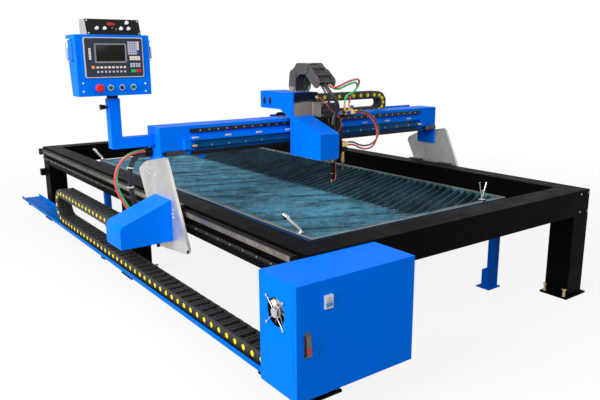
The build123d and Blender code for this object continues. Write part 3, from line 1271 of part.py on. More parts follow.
def pendant_box():
    """Sheet box with the swivel stub below, bezels of the push buttons and two side handles."""
    t = BOX_SHEET
    x0, x1 = post_x - BOX_WIDTH / 2, post_x + BOX_WIDTH / 2
    z0, z1 = BOX_BOTTOM, BOX_BOTTOM + BOX_HEIGHT
    low_back, high_back = BOX_FRONT + BOX_BOTTOM_DEPTH, BOX_FRONT + BOX_TOP_DEPTH
    outline = [(BOX_FRONT, z0), (low_back, z0), (high_back, z1), (BOX_FRONT, z1)]
    inner = [(BOX_FRONT + t, z0 + t), (low_back - t, z0 + t),
             (high_back - t, z1 - t), (BOX_FRONT + t, z1 - t)]
    box = prism_x(outline, x0, x1) - prism_x(inner, x0 + t, x1 - t)
    stub_low = POST_TOP - STUB_DEPTH
    box += rod((post_x, POST_Y, stub_low), (post_x, POST_Y, z0 + t), STUB_R)
    box += rod((post_x, POST_Y, POST_TOP + SEAT_CLEAR), (post_x, POST_Y, z0 + t), FLANGE_R)
    box -= rod((post_x, POST_Y, stub_low - OVERCUT), (post_x, POST_Y, z0 + t + OVERCUT), STUB_BORE_R)
    opening = PANEL_WIDTH / 2 - PANEL_RIM
    box -= block(post_x - opening, post_x + opening, BOX_FRONT - OVERCUT, BOX_FRONT + t + OVERCUT,
                 panel_bottom + PANEL_RIM, panel_top - PANEL_RIM)
    bezels = []
    bezel_front = BOX_FRONT - BEZEL_RISE
    for x in button_xs:
        hole = rod((x, bezel_front - OVERCUT, BUTTON_Z), (x, BOX_FRONT + t + OVERCUT, BUTTON_Z),
                   BUTTON_R + SEAT_CLEAR)
        box -= hole
        bezels.append(rod((x, bezel_front, BUTTON_Z), (x, BOX_FRONT, BUTTON_Z), BEZEL_R) - hole)
    return group(box, *bezels, pendant_handle(-1), pendant_handle(1))


def controller():
    """Operator unit: bezel plate with a sunk screen, and its housing inside the pendant."""
    x0, x1 = post_x - PANEL_WIDTH / 2, post_x + PANEL_WIDTH / 2
    front = BOX_FRONT - PANEL_RISE
    plate = block(x0, x1, front, BOX_FRONT, panel_bottom, panel_top)
    plate = fillet(plate.edges().filter_by(Axis.Y), PANEL_ROUND)
    plate += block(x0 + HOUSING_INSET, x1 - HOUSING_INSET, BOX_FRONT, BOX_FRONT + HOUSING_DEPTH,
                   panel_bottom + HOUSING_INSET, panel_top - HOUSING_INSET)
    cx, cz = post_x + SCREEN_SHIFT, (panel_bottom + panel_top) / 2 + SCREEN_LIFT
    plate -= block(cx - SCREEN_WIDTH / 2, cx + SCREEN_WIDTH / 2, front - OVERCUT, front + SCREEN_SINK,
                   cz - SCREEN_HEIGHT / 2, cz + SCREEN_HEIGHT / 2)
    return plate


def press_button(x):
    """A flat button in its bezel."""
    front = BOX_FRONT - BEZEL_RISE - BUTTON_PROUD
    return rod((x, front, BUTTON_Z), (x, BOX_FRONT + BOX_SHEET + BUTTON_TAIL, BUTTON_Z), BUTTON_R)


def emergency_stop():
    """Mushroom head on the stem of a button."""
    x = button_xs[0]
    bezel_front = BOX_FRONT - BEZEL_RISE
    stem = rod((x, bezel_front - MUSHROOM_NECK - OVERCUT, BUTTON_Z),
               (x, BOX_FRONT + BOX_SHEET + BUTTON_TAIL, BUTTON_Z), BUTTON_R)
    head = rod((x, bezel_front - MUSHROOM_REACH, BUTTON_Z), (x, bezel_front - MUSHROOM_NECK, BUTTON_Z),
               MUSHROOM_R)
    return stem + fillet(head.edges().sort_by(Axis.Y)[0], MUSHROOM_ROUND)


def mode_selector():
    """Turn knob with a raised grip."""
    x = button_xs[2]
    front = BOX_FRONT - BEZEL_RISE - BUTTON_PROUD
    grip = block(x - SELECTOR_WIDTH / 2, x + SELECTOR_WIDTH / 2, front - SELECTOR_GRIP, front + OVERCUT,
                 BUTTON_Z - SELECTOR_LENGTH / 2, BUTTON_Z + SELECTOR_LENGTH / 2)
    return press_button(x) + grip


def height_control():
    """Torch height unit on top of the pendant, with its panel leaning back."""
    t = BOX_SHEET
    back = HEIGHT_BOX_BACK
    z0, z1 = height_bottom, height_bottom + HEIGHT_BOX_HEIGHT
    outline = [(back - HEIGHT_BOX_FOOT, z0), (back, z0), (back, z1), (back - HEIGHT_BOX_CROWN, z1)]
    inner = [(back - HEIGHT_BOX_FOOT + 2 * t, z0 + t), (back - t, z0 + t), (back - t, z1 - t),
             (back - HEIGHT_BOX_CROWN + t, z1 - t)]
    x0, x1 = height_x - HEIGHT_BOX_WIDTH / 2, height_x + HEIGHT_BOX_WIDTH / 2
    box = prism_x(outline, x0, x1) - prism_x(inner, x0 + t, x1 - t)
    slot_right = x1 - CABLE_SLOT_INSET
    slot_low = z0 + CABLE_SLOT_INSET
    box -= block(slot_right - CABLE_SLOT_WIDTH, slot_right, back - t - OVERCUT, back + OVERCUT,
                 slot_low, slot_low + CABLE_SLOT_HEIGHT)
    bore = Cylinder(KNOB_SHAFT_R + RUN_CLEAR, 2 * KNOB_SHAFT_LENGTH)
    for shift, rise in KNOB_SPOTS:
        box -= on_height_panel(height_x + shift, rise) * bore
    return box


def on_height_panel(x, rise):
    """The frame of a point on the leaning panel, with Z out of the panel."""
    share = rise / HEIGHT_BOX_HEIGHT
    y = HEIGHT_BOX_BACK - HEIGHT_BOX_FOOT + share * (HEIGHT_BOX_FOOT - HEIGHT_BOX_CROWN)
    return Pos(x, y, height_bottom + rise) * Rot(90 - height_lean, 0, 0)


def height_knob(spot):
    """A small knob with a pointer, its shaft through the leaning panel."""
    shift, rise = spot
    body = Cylinder(KNOB_R, KNOB_RISE, align=(Align.CENTER, Align.CENTER, Align.MIN))
    body += Pos(0, 0, KNOB_RISE) * Box(KNOB_POINTER, KNOB_POINTER_LENGTH, KNOB_POINTER)
    body += Cylinder(KNOB_SHAFT_R, KNOB_SHAFT_LENGTH)
    return on_height_panel(height_x + shift, rise) * Pos(0, 0, SEAT_CLEAR) * body


def lift_frame():
    """Carriage back plate with the two brackets that hold the lead screw, and the lift rails."""
    front = backplate_front
    bottom, top = BACKPLATE_BOTTOM, BACKPLATE_TOP
    plate = block(BACKPLATE_LEFT, BACKPLATE_RIGHT, front, BACKPLATE_REAR, bottom, top)
    x, z = CROSS_DRIVE_X, cross_pinion_z
    plate -= rod((x, front - OVERCUT, z), (x, BACKPLATE_REAR + OVERCUT, z), SHAFT_R + FACE_CLEAR)
    for z in (bottom, top - LIFT_BRACKET_THICK):
        plate += block(LIFT_LEFT, LIFT_RIGHT, front - LIFT_BRACKET, front, z, z + LIFT_BRACKET_THICK)
    plate -= rod((screw_x, screw_y, bottom - OVERCUT), (screw_x, screw_y, top + OVERCUT), SCREW_R + RUN_CLEAR)
    half = LIFT_RAIL_SIDE / 2
    low, high = bottom + LIFT_BRACKET_THICK, top - LIFT_BRACKET_THICK
    rails = [block(x - half, x + half, front - LIFT_RAIL_SIDE, front, low, high) for x in lift_rail_xs]
    return group(plate, *rails)


def carriage_covers():
    """Blue side plate with its arm over the gantry, the shelf it carries and the folded cowl."""
    outline = [
        (ARM_BACK, ARM_TOP), (ARM_FRONT, ARM_TOP), (ARM_FRONT, COWL_TOP), (COWL_FRONT, COWL_SHOULDER),
        (COWL_FRONT, COWL_BOTTOM), (COWL_BACK, COWL_BOTTOM), (COWL_BACK, gantry_top),
        (ARM_KNEE, ARM_UNDER), (ARM_BACK, ARM_UNDER),
    ]
    arm = prism_x(outline, ARM_X - ARM_THICK, ARM_X)
    shelf = block(ARM_X, SHELF_RIGHT, ARM_FRONT, ARM_BACK, ARM_TOP - SHELF_THICK, ARM_TOP)
    shelf += block(ARM_X, SHELF_RIGHT, ARM_FRONT, ARM_FRONT + SHELF_THICK, ARM_TOP - SHELF_FLANGE, ARM_TOP)
    t = COWL_SHEET
    cowl_line = [
        (ARM_FRONT, COWL_TOP), (COWL_FRONT, COWL_SHOULDER), (COWL_FRONT, COWL_BOTTOM),
        (COWL_FRONT + t, COWL_BOTTOM), (COWL_FRONT + t, COWL_SHOULDER - t), (ARM_FRONT, COWL_TOP - t),
    ]
    return group(arm, shelf, prism_x(cowl_line, ARM_X, COWL_RIGHT))


def carriage_blocks():
    """Ball blocks on the cross rails, bolted to the back plate."""
    blocks = []
    for x in (CARRIAGE_BLOCK_LEFT, CARRIAGE_BLOCK_RIGHT):
        for z in (UPPER_RAIL_Z, LOWER_RAIL_Z):
            half = CARRIAGE_BLOCK_LENGTH / 2
            piece = block(x - half, x + half, BACKPLATE_REAR, GANTRY_FRONT - FACE_CLEAR,
                          z - CARRIAGE_BLOCK_HEIGHT / 2, z + CARRIAGE_BLOCK_HEIGHT / 2)
            gap = CROSS_RAIL_HEIGHT / 2 + RAIL_CLEAR
            groove = GANTRY_FRONT - CROSS_RAIL_DEPTH - RAIL_CLEAR
            piece -= block(x - 2 * half, x + 2 * half, groove, GANTRY_FRONT, z - gap, z + gap)
            blocks.append(piece)
    return group(*blocks)


def carriage_motors():
    """Cross drive behind the cowl, and the lift motor with its right-angle gearbox above the back plate."""
    m = MOTOR_SIDE / 2
    rear = backplate_front
    x, z = CROSS_DRIVE_X, cross_pinion_z
    drive = block(x - m, x + m, rear - CROSS_MOTOR_LENGTH, rear, z - m, z + m)
    drive -= rod((x, rear + OVERCUT, z), (x, rear - GEARBOX_LENGTH / 2 - OVERCUT, z), SHAFT_R + RUN_CLEAR)
    right = ARM_X + LIFT_MOTOR_LENGTH
    low = BACKPLATE_TOP
    back = ARM_FRONT + MOTOR_SIDE
    motor = block(ARM_X, right, ARM_FRONT, back, low, low + MOTOR_SIDE)
    gearbox = block(right, screw_x + LIFT_BOX_RIGHT, lift_box_front, back,
                    low, low + MOTOR_SIDE - LIFT_BOX_DROP)
    gearbox -= rod((screw_x, screw_y, low - OVERCUT), (screw_x, screw_y, low + MOTOR_SIDE / 2 + OVERCUT),
                   SCREW_R + RUN_CLEAR)
    return group(drive, motor + gearbox)


def lead_screw():
    top = BACKPLATE_TOP + MOTOR_SIDE / 2
    return rod((screw_x, screw_y, BACKPLATE_BOTTOM), (screw_x, screw_y, top), SCREW_R)


def slide_plate():
    """Front plate of the lift with its ball blocks, the screw nut and the two torch clamps."""
    plate = block(LIFT_LEFT, LIFT_RIGHT, SLIDE_FRONT, slide_back, SLIDE_BOTTOM, SLIDE_TOP)
    z0, z1 = SLIDE_BLOCK_BOTTOM, SLIDE_BLOCK_BOTTOM + SLIDE_BLOCK_HEIGHT
    half = LIFT_RAIL_SIDE / 2
    side, gap = half + SLIDE_BLOCK_RIM, half + RAIL_CLEAR
    groove = backplate_front - LIFT_RAIL_SIDE - RAIL_CLEAR
    blocks = []
    for x in lift_rail_xs:
        piece = block(x - side, x + side, slide_back, backplate_front - FACE_CLEAR, z0, z1)
        blocks.append(piece - block(x - gap, x + gap, groove, backplate_front, z0 - OVERCUT, z1 + OVERCUT))
    nut = block(screw_x - NUT_SIDE / 2, screw_x + NUT_SIDE / 2, slide_back, screw_y + NUT_BACK,
                z0 + NUT_INSET, z1 - NUT_INSET)
    nut -= rod((screw_x, screw_y, z0), (screw_x, screw_y, z1), SCREW_R + RUN_CLEAR)
    clamps = []
    for x, r, rise in ((PLASMA_X, PLASMA_R, PLASMA_CLAMP_RISE), (CUTTER_X, CUTTER_R, CUTTER_CLAMP_RISE)):
        low = SLIDE_BOTTOM + rise
        reach = r + CLAMP_RIM
        clamp = block(x - reach, x + reach, TORCH_Y - reach, SLIDE_FRONT, low, low + CLAMP_HEIGHT)
        bore = rod((x, TORCH_Y, low - OVERCUT), (x, TORCH_Y, low + CLAMP_HEIGHT + OVERCUT), r + RUN_CLEAR)
        clamps.append(clamp - bore)
    return group(plate, *blocks, nut, *clamps)


def turned(x, y, profile):
    """A turned piece from (radius, z) steps, bottom to top."""
    points = [(x, y, profile[0][1])] + [(x + r, y, z) for r, z in profile] + [(x, y, profile[-1][1])]
    return revolve(make_face(Polyline(*points, close=True)), Axis((x, y, 0), (0, 0, 1)))


def plasma_torch():
    """Machine torch: straight barrel, shield cup and nozzle."""
    profile = [(r, PLASMA_TIP + rise) for r, rise in PLASMA_NOSE]
    return turned(PLASMA_X, TORCH_Y, profile + [(r, PLASMA_TOP - drop) for r, drop in PLASMA_NECK])


def cutting_torch():
    """Gas cutting head with its nozzle and hose nipples."""
    head_low = CUTTER_TOP - CUTTER_HEAD_HEIGHT
    profile = [(r, CUTTER_TIP + rise) for r, rise in CUTTER_NOSE]
    torch = turned(CUTTER_X, TORCH_Y, profile + [(CUTTER_R, head_low + OVERCUT)])
    half = CUTTER_HEAD / 2
    torch += block(CUTTER_X - half, CUTTER_X + half, TORCH_Y - half, TORCH_Y + half, head_low, CUTTER_TOP)
    for x, y, z in (hose_black[-1], hose_red[-1]):
        torch += rod((CUTTER_X, y, z), (x, y, z), NIPPLE_R)
    return torch


def arch_chain():
    """Links standing in an arch over the carriage, on a foot on the shelf."""
    y, z = ARCH_FOOT_Y, ARM_TOP + ARCH_FOOT_RISE
    pieces = []
    step = ARCH_PLATE + CHAIN_GAP
    r = ARCH_PLATE_R
    for k, tilt in enumerate(ARCH_TILTS):
        inset = step * (k % 2)
        width = ARCH_WIDTH - 2 * inset
        side = extrude(Plane.XZ * SlotCenterToCenter(ARCH_PITCH, 2 * r), ARCH_PLATE, dir=(0, 1, 0))
        link = Pos(0, -width / 2, 0) * side + Pos(0, width / 2 - ARCH_PLATE, 0) * side
        inner = width / 2 - ARCH_PLATE / 2
        bar_z = ARCH_BAR_R + ARCH_BAR_INSET - r
        link += rod((0, -inner, bar_z), (0, inner, bar_z), ARCH_BAR_R)
        if k == len(ARCH_TILTS) - 1:
            comb = ARCH_PITCH / 2 + ARCH_COMB_START
            link += block(comb, comb + ARCH_COMB, -inner, inner, -ARCH_COMB_HEIGHT / 2, ARCH_COMB_HEIGHT / 2)
        pivot = Pos(ARCH_LEFT + ARCH_WIDTH / 2, y, z)
        pieces.append(pivot * Rot(90 + tilt, 0, 0) * to_back * Pos(ARCH_PITCH / 2, 0, 0) * link)
        y -= ARCH_PITCH * math.sin(math.radians(tilt))
        z += ARCH_PITCH * math.cos(math.radians(tilt))
    x0, x1 = ARCH_LEFT + step, ARCH_LEFT + ARCH_WIDTH - step
    y0, y1 = ARCH_FOOT_Y - ARCH_FOOT_HALF, ARCH_FOOT_Y + ARCH_FOOT_HALF
    foot = block(x0, x1, y0, y1, ARM_TOP, ARM_TOP + ARCH_FOOT_THICK)
    for x in (x0, x1 - ARCH_PLATE):
        foot += block(x, x + ARCH_PLATE, y0, y1, ARM_TOP, ARM_TOP + ARCH_FOOT_RISE)
    return group(*pieces, foot)


def valve_block():
    """Brass gas manifold with hose inlets, spindles and outlets, on a bracket of the back plate."""
    shelf_top = VALVE_Z - VALVE_HEIGHT / 2
    shelf_low = shelf_top - LIFT_BRACKET_THICK
    left = BACKPLATE_RIGHT - LIFT_RAIL_SIDE
    bracket = block(left, valve_right, valve_front, backplate_front, shelf_low, shelf_top)
    bracket += block(left, BACKPLATE_RIGHT, backplate_front - SHELF_THICK, backplate_front,
                     shelf_low - LIFT_RAIL_SIDE, shelf_top)
    body = block(VALVE_LEFT, valve_right, valve_front, VALVE_Y + VALVE_DEPTH / 2, shelf_top, valve_top)
    waist = (valve_top + VALVE_INLET_TOP) / 2
    inlet = [(VALVE_INLET_R, valve_top - OVERCUT), (VALVE_INLET_R, waist - VALVE_INLET_TAPER),
             (VALVE_INLET_NECK, waist), (VALVE_INLET_NECK, VALVE_INLET_TOP)]
    for x in VALVE_INLETS:
        body += turned(x, VALVE_Y, inlet)
    x = FRONT_SPINDLE_X
    body += rod((x, VALVE_Y, VALVE_Z), (x, valve_front - VALVE_SPINDLE, VALVE_Z), VALVE_SPINDLE_R)
    x = TOP_SPINDLE_X
    body += rod((x, VALVE_Y, VALVE_Z), (x, VALVE_Y, valve_top + VALVE_SPINDLE), VALVE_SPINDLE_R)
    for x, y, z in (hose_black[0], hose_red[0]):
        body += rod((x - 2 * NIPPLE_LENGTH, y, z), (x, y, z), NIPPLE_R)
    return group(bracket, body)


def hand_wheel(place):
    """Fluted wheel of a valve, with its axis along the place's Z."""
    wheel = Cylinder(HAND_WHEEL_R, HAND_WHEEL_WIDTH, align=(Align.CENTER, Align.CENTER, Align.MIN))
    flute = Cylinder(FLUTE_R, 3 * HAND_WHEEL_WIDTH)
    for k in range(HAND_WHEEL_FLUTES):
        wheel -= Rot(0, 0, 360 * k / HAND_WHEEL_FLUTES) * Pos(FLUTE_OUT, 0, 0) * flute
    return place * Pos(0, 0, SEAT_CLEAR) * wheel


def lever_clamp(x, y):
    """A toggle clamp on the bed's edge tube, its lever up."""
    half = LEVER_FOOT / 2
    foot = block(x - half, x + half, y - half, y + half, BED_TOP, BED_TOP + LEVER_FOOT_HEIGHT)
    places = [(x + dx, y + dy, BED_TOP + dz) for dx, dy, dz in ((0, 0, LEVER_START), LEVER_END, LEVER_TIP)]
    return foot + rod(places[0], places[1], LEVER_R) + rod(places[1], places[2], LEVER_GRIP_R)


def work_clamps():
    """A spring clamp and two lever clamps on the edge tubes of the bed."""
    edge_x = BED_WIDTH / 2 - BED_TUBE / 2
    front_y = BED_Y - BED_LENGTH / 2
    x, y = edge_x - SPRING_INSET, front_y + BED_TUBE / 2
    w, d = SPRING_JAW_WIDTH / 2, SPRING_JAW_DEPTH / 2
    jaw = block(x - w, x + w, y - d, y + d, BED_TOP, BED_TOP + SPRING_JAW_HEIGHT)
    for dx, dz in SPRING_ARMS:
        jaw += rod((x, y, BED_TOP + SPRING_JAW_HEIGHT / 2), (x + dx, y, BED_TOP + dz), SPRING_ARM_R)
    jaw += rod(*[(x + dx, y, BED_TOP + dz) for dx, dz in SPRING_TIE], SPRING_TIE_R)
    back_y = BED_Y + BED_LENGTH / 2 - BED_TUBE / 2
    return group(lever_clamp(-edge_x, front_y + LEVER_INSET), lever_clamp(-edge_x, back_y), jaw)


os.makedirs("parts", exist_ok=True)

keep("table_beams", table_beams())
keep("legs", legs())
keep("guide_rails", guide_rails())
keep("drive_racks", drive_racks())
keep("bed_frame", bed_frame())
keep("slats", slats())
keep("chain_tray", chain_tray())
travel_chain()
keep("cabinet_shell", cabinet_shell())
keep("control_electronics", control_electronics())
keep("work_clamps", work_clamps())
keep("cabinet_door", cabinet_door())
keep("door_latch", door_latch())
keep("breaker_toggle", breaker_toggle())
keep("fan_rotor", fan_rotor())
cross_chain()
keep("gantry_beam", gantry_beam())
keep("side_plates", side_plates())
keep("bearing_blocks", bearing_blocks())
keep("motor_covers", motor_covers())
keep("drive_motors", drive_motors())
keep("cross_rails", cross_rails())
keep("pendant_post", pendant_post())
keep("end_stops", end_stops())
keep("side_hoses", group(cord(side_red, SIDE_HOSE_R), cord(side_green, SIDE_HOSE_R),
                         cord(side_bundle, SIDE_BUNDLE_R)))
keep("drive_pinions", drive_pinions())
keep("cross_pinion", cross_pinion())
keep("pendant_box", pendant_box())
keep("controller", controller())
keep("height_control", height_control())
keep("lock_knob", lock_knob())
keep("emergency_stop", emergency_stop())
keep("start_button", press_button(button_xs[1]))
keep("mode_selector", mode_selector())
keep("pause_button", press_button(button_xs[3]))
for number, spot in enumerate(KNOB_SPOTS, start=1):
    keep(f"height_knob_{number}", height_knob(spot))
keep("lift_frame", lift_frame())
keep("carriage_covers", carriage_covers())
keep("carriage_blocks", carriage_blocks())
keep("carriage_motors", carriage_motors())
keep("arch_chain", arch_chain())
keep("valve_block", valve_block())
keep("oxygen_knob", hand_wheel(Pos(FRONT_SPINDLE_X, valve_front - VALVE_SPINDLE, VALVE_Z) * Rot(90, 0, 0)))
keep("fuel_knob", hand_wheel(Pos(TOP_SPINDLE_X, VALVE_Y, valve_top + VALVE_SPINDLE)))
keep("gas_hoses", group(cord(gas_red, GAS_HOSE_R), cord(gas_green, GAS_HOSE_R),
                        cord(lift_cable, LIFT_CABLE_R)))
keep("torch_lines", group(cord(torch_lead, LEAD_R), cord(sense_wire, WIRE_R), cord(hose_black, TORCH_HOSE_R),
                          cord(hose_red, TORCH_HOSE_R)))
keep("slide_plate", slide_plate())
keep("plasma_torch", plasma_torch())
keep("cutting_torch", cutting_torch())
keep("lead_screw", lead_screw())

for name, shape in NODES.items():
    export_step(shape, f"parts/{name}.step")
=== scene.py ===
"""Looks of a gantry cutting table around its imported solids: finishes, chains, lines, fittings and stage.

Metres in the part's own frame. Places that come from the solids are in millimetres and scaled by MM.
"""

import math

import bmesh
import bpy
from bpy.props import FloatProperty, FloatVectorProperty, IntProperty, PointerProperty
from mathutils import Matrix, Vector


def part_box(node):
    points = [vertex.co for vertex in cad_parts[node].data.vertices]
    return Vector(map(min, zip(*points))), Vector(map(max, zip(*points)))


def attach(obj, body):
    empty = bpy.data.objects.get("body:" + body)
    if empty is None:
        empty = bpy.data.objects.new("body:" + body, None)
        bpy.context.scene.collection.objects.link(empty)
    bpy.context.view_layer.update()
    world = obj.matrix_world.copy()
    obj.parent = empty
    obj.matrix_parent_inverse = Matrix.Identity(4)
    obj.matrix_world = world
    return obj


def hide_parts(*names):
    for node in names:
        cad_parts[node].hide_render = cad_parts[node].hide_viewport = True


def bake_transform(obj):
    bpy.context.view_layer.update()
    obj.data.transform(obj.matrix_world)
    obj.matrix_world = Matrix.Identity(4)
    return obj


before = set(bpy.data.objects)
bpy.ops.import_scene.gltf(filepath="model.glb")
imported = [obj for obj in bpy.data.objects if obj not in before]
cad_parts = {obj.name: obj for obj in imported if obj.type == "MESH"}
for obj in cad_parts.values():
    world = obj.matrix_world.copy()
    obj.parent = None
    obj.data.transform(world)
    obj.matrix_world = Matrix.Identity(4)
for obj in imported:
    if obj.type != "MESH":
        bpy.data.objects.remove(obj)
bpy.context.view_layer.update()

bl_info = {
    "name": "Gantry cutting table",
    "version": (1, 0, 0),
    "blender": (4, 5, 0),
    "location": "3D View, sidebar, Cutting table",
    "description": "Finishes, chains, lines and fittings of a gantry cutting table",
    "category": "Object",
}

MM = 0.001

# Faces that meet at less than the first angle look smooth, edges of a solid past the second are rounded, and
# the cut end of a line past the third stays sharp
SMOOTH_ANGLE = math.radians(32)
EDGE_ANGLE = math.radians(40)
CUT_ANGLE = math.radians(60)

LEFT = (-1, 0, 0)
RIGHT = (1, 0, 0)
FRONT = (0, -1, 0)
BACK = (0, 1, 0)
DOWN = (0, 0, -1)
UP = (0, 0, 1)


def linear(code):
    """Linear colour of an sRGB hex value."""
    channels = [int(code[i:i + 2], 16) / 255 for i in (1, 3, 5)]
    return tuple(c / 12.92 if c <= 0.04045 else ((c + 0.055) / 1.055) ** 2.4 for c in channels) + (1.0,)


def colour_property(name, description, code):
    """A colour that a user may change, from its hex value."""
    return FloatVectorProperty(name=name, description=description, subtype="COLOR", size=4, min=0.0,
                               max=1.0, default=linear(code))


def length_property(name, description, default):
    """A length in metres that a user may change."""
    return FloatProperty(name=name, description=description, default=default, min=0.0, unit="LENGTH")


class CutterColours(bpy.types.PropertyGroup):
    """Colours of the finishes."""
    blue: colour_property("Blue paint", "Powder coat on cabinet, gantry and pendant", "#0079FF")
    black: colour_property("Black paint", "Enamel on the table frame", "#060606")
    bed: colour_property("Bed paint", "Thin paint on the slats", "#4A8AA5")
    chain: colour_property("Chain", "Filled nylon of the drag chains", "#2F2D2F")
    marker: colour_property("Chain marker", "Yellow insert in each link", "#FFE61A")
    red_hose: colour_property("Red hose", "Fuel gas hose", "#F04A4C")
    green_hose: colour_property("Green hose", "Oxygen hose", "#22E27A")
    floor: colour_property("Floor", "Plain pale floor", "#FDFDFD")


class CutterSizes(bpy.types.PropertyGroup):
    """Sizes that the fittings follow."""
    rail_bolt_pitch: length_property("Rail bolt pitch", "Spacing of the bolts in a guide rail", 0.080)
    rack_bolt_pitch: length_property("Rack bolt pitch", "Spacing of the bolts in a rack", 0.120)
    cross_bolt_pitch: length_property("Cross rail bolt pitch", "Spacing of a cross rail's bolts", 0.0575)
    bolt_head: length_property("Bolt head radius", "Head of the bolts in the plates", 0.0065)
    marker_radius: length_property("Chain marker radius", "Yellow insert of a link", 0.0135)
    hose_radius: length_property("Gas hose radius", "Half the hose's outer diameter", 0.0065)
    torch_hose_radius: length_property("Torch hose radius", "Half the hose's outer diameter", 0.006)
    lead_radius: length_property("Torch lead radius", "Half the lead's outer diameter", 0.012)
    lift_cable_radius: length_property("Lift cable radius", "Half the lift motor cable's diameter", 0.006)
    wire_radius: length_property("Sensing wire radius", "Half the wire's outer diameter", 0.002)
    bundle_radius: length_property("Cable bundle radius", "Half the bundle's diameter", 0.015)
    hose_sides: IntProperty(name="Hose roundness", description="Steps round a hose", default=4, min=2)


# Finishes

# The trees of repeated shapes, filled as they are made
TREES = {}

# What the wear, burns, soot and painted shade follow: the turn of the bed's strips, its top, outer side and
# front, the width of its edge that is rubbed bare, and the top of the guide rails, along which they are
# darker
STRIP_TURN = math.radians(25.0)
BED_TOP = 0.590
BED_SIDE = 0.754
BED_FRONT = -1.639
RUBBED = 0.006
RAIL_TOP = 0.652


def add(tree, kind, inputs=None, **settings):
    """A new node with its settings; each input takes a value or another node's output."""
    node = tree.nodes.new(kind)
    for name, value in settings.items():
        setattr(node, name, value)
    for name, value in (inputs or {}).items():
        if isinstance(value, bpy.types.NodeSocket):
            tree.links.new(value, node.inputs[name])
        else:
            node.inputs[name].default_value = value
    return node


def per(size):
    """Texture scale at which one feature is that many millimetres wide."""
    return 1 / (size * MM)


def surface(name, sockets):
    """A material named for its finish, its shader's constant sockets, and Object coordinates."""
    material = bpy.data.materials.new(name)
    material.use_nodes = True
    tree = material.node_tree
    shader = tree.nodes["Principled BSDF"]
    for socket, value in sockets.items():
        shader.inputs[socket].default_value = value
    return tree, shader, add(tree, "ShaderNodeTexCoord").outputs["Object"]


def drift(tree, shader, place, colour, size, spread):
    """Base colour that wanders a little lighter and darker over patches of a size."""
    noise = add(tree, "ShaderNodeTexNoise", {"Vector": place, "Scale": per(size), "Detail": 4.0,
                                             "Roughness": 0.6})
    level = add(tree, "ShaderNodeMapRange", {"Value": noise.outputs["Fac"],
                                             "From Min": 0.3, "From Max": 0.7,
                                             "To Min": 1 - spread, "To Max": 1 + spread})
    tone = add(tree, "ShaderNodeVectorMath", {0: colour[:3], "Scale": level.outputs[0]}, operation="SCALE")
    tree.links.new(tone.outputs[0], shader.inputs["Base Color"])
    return tone.outputs[0]


def uneven_gloss(tree, shader, place, size, low, high):
    """Roughness that varies between two values over patches of a size, as handling and dust leave it."""
    noise = add(tree, "ShaderNodeTexNoise", {"Vector": place, "Scale": per(size), "Detail": 5.0,
                                             "Roughness": 0.65})
    level = add(tree, "ShaderNodeMapRange", {"Value": noise.outputs["Fac"],
                                             "From Min": 0.3, "From Max": 0.7,
                                             "To Min": low, "To Max": high})
    tree.links.new(level.outputs[0], shader.inputs["Roughness"])


def relief(tree, shader, height, depth):
    """Bump of a depth in millimetres from a height."""
    bump = add(tree, "ShaderNodeBump", {"Height": height, "Distance": depth * MM, "Strength": 1.0})
    tree.links.new(bump.outputs[0], shader.inputs["Normal"])


def powder_coat(name, colour, low, high, level, sheen="#FFFFFF"):
    """Baked powder on folded sheet: even colour, soft gloss that takes a little of its colour, and the
    shallow waves of orange peel about 3 mm apart."""
    tree, shader, place = surface(name, {"IOR": 1.5, "Specular IOR Level": level,
                                               "Specular Tint": linear(sheen)})
    drift(tree, shader, place, colour, 420.0, 0.05)
    uneven_gloss(tree, shader, place, 90.0, low, high)
    peel = add(tree, "ShaderNodeTexNoise", {"Vector": place, "Scale": per(3.0), "Detail": 1.0})
    relief(tree, shader, peel.outputs["Fac"], 0.05)


def drawn_steel(name, colour, along, rough, top=None):
    """Ground or drawn steel: lines about 1.2 mm apart along the bar, and a thin brown film of oil in patches.
    A guide rail with a top is darker along its upper edge, and has painted light: lighter at the front and
    darker towards the back, as the light falls along it."""
    tree, shader, place = surface(name, {"Metallic": 0.9})
    stretch = [per(1.2)] * 3
    stretch[along] = per(160.0)
    lines = add(tree, "ShaderNodeVectorMath", {0: place, 1: stretch}, operation="MULTIPLY")
    streak = add(tree, "ShaderNodeTexNoise", {"Vector": lines.outputs[0], "Scale": 1.0, "Detail": 3.0})
    tone = drift(tree, shader, place, colour, 220.0, 0.34)
    if top:
        spot = add(tree, "ShaderNodeSeparateXYZ", {0: place})
        upper_edge_dark = add(tree, "ShaderNodeMapRange", {"Value": spot.outputs["Z"], "From Min": top - 0.010,
                                                  "From Max": top - 0.005, "To Min": 1.0, "To Max": 0.12})
        # Painted light: the rail is lighter at the front and darker towards the back, as the light falls
        # along it
        painted_falloff = add(tree, "ShaderNodeMapRange", {"Value": spot.outputs["Y"], "From Min": 0.1,
                                                "From Max": 0.5, "To Min": 1.35, "To Max": 0.5})
        edge_dark_and_falloff = add(tree, "ShaderNodeMath", {0: upper_edge_dark.outputs[0], 1: painted_falloff.outputs[0]}, operation="MULTIPLY")
        falloff_tone = add(tree, "ShaderNodeVectorMath", {0: tone, "Scale": edge_dark_and_falloff.outputs[0]}, operation="SCALE")
        tree.links.new(falloff_tone.outputs[0], shader.inputs["Base Color"])
    uneven_gloss(tree, shader, place, 60.0, rough - 0.1, rough + 0.1)
    relief(tree, shader, streak.outputs["Fac"], 0.06)


def milled_plate(name, colour, rough):
    """Rolled aluminium plate: pale scuffs, and fine upright brush lines, drawn 0.8 mm wide to show."""
    tree, shader, place = surface(name, {"Metallic": 0.75})
    stretch = add(tree, "ShaderNodeVectorMath", {0: place, 1: (per(0.8), per(0.8), per(90.0))},
                  operation="MULTIPLY")
    lines = add(tree, "ShaderNodeTexNoise", {"Vector": stretch.outputs[0], "Scale": 1.0, "Detail": 4.0})
    drift(tree, shader, place, colour, 150.0, 0.10)
    uneven_gloss(tree, shader, place, 45.0, rough - 0.08, rough + 0.12)
    relief(tree, shader, lines.outputs["Fac"], 0.03)


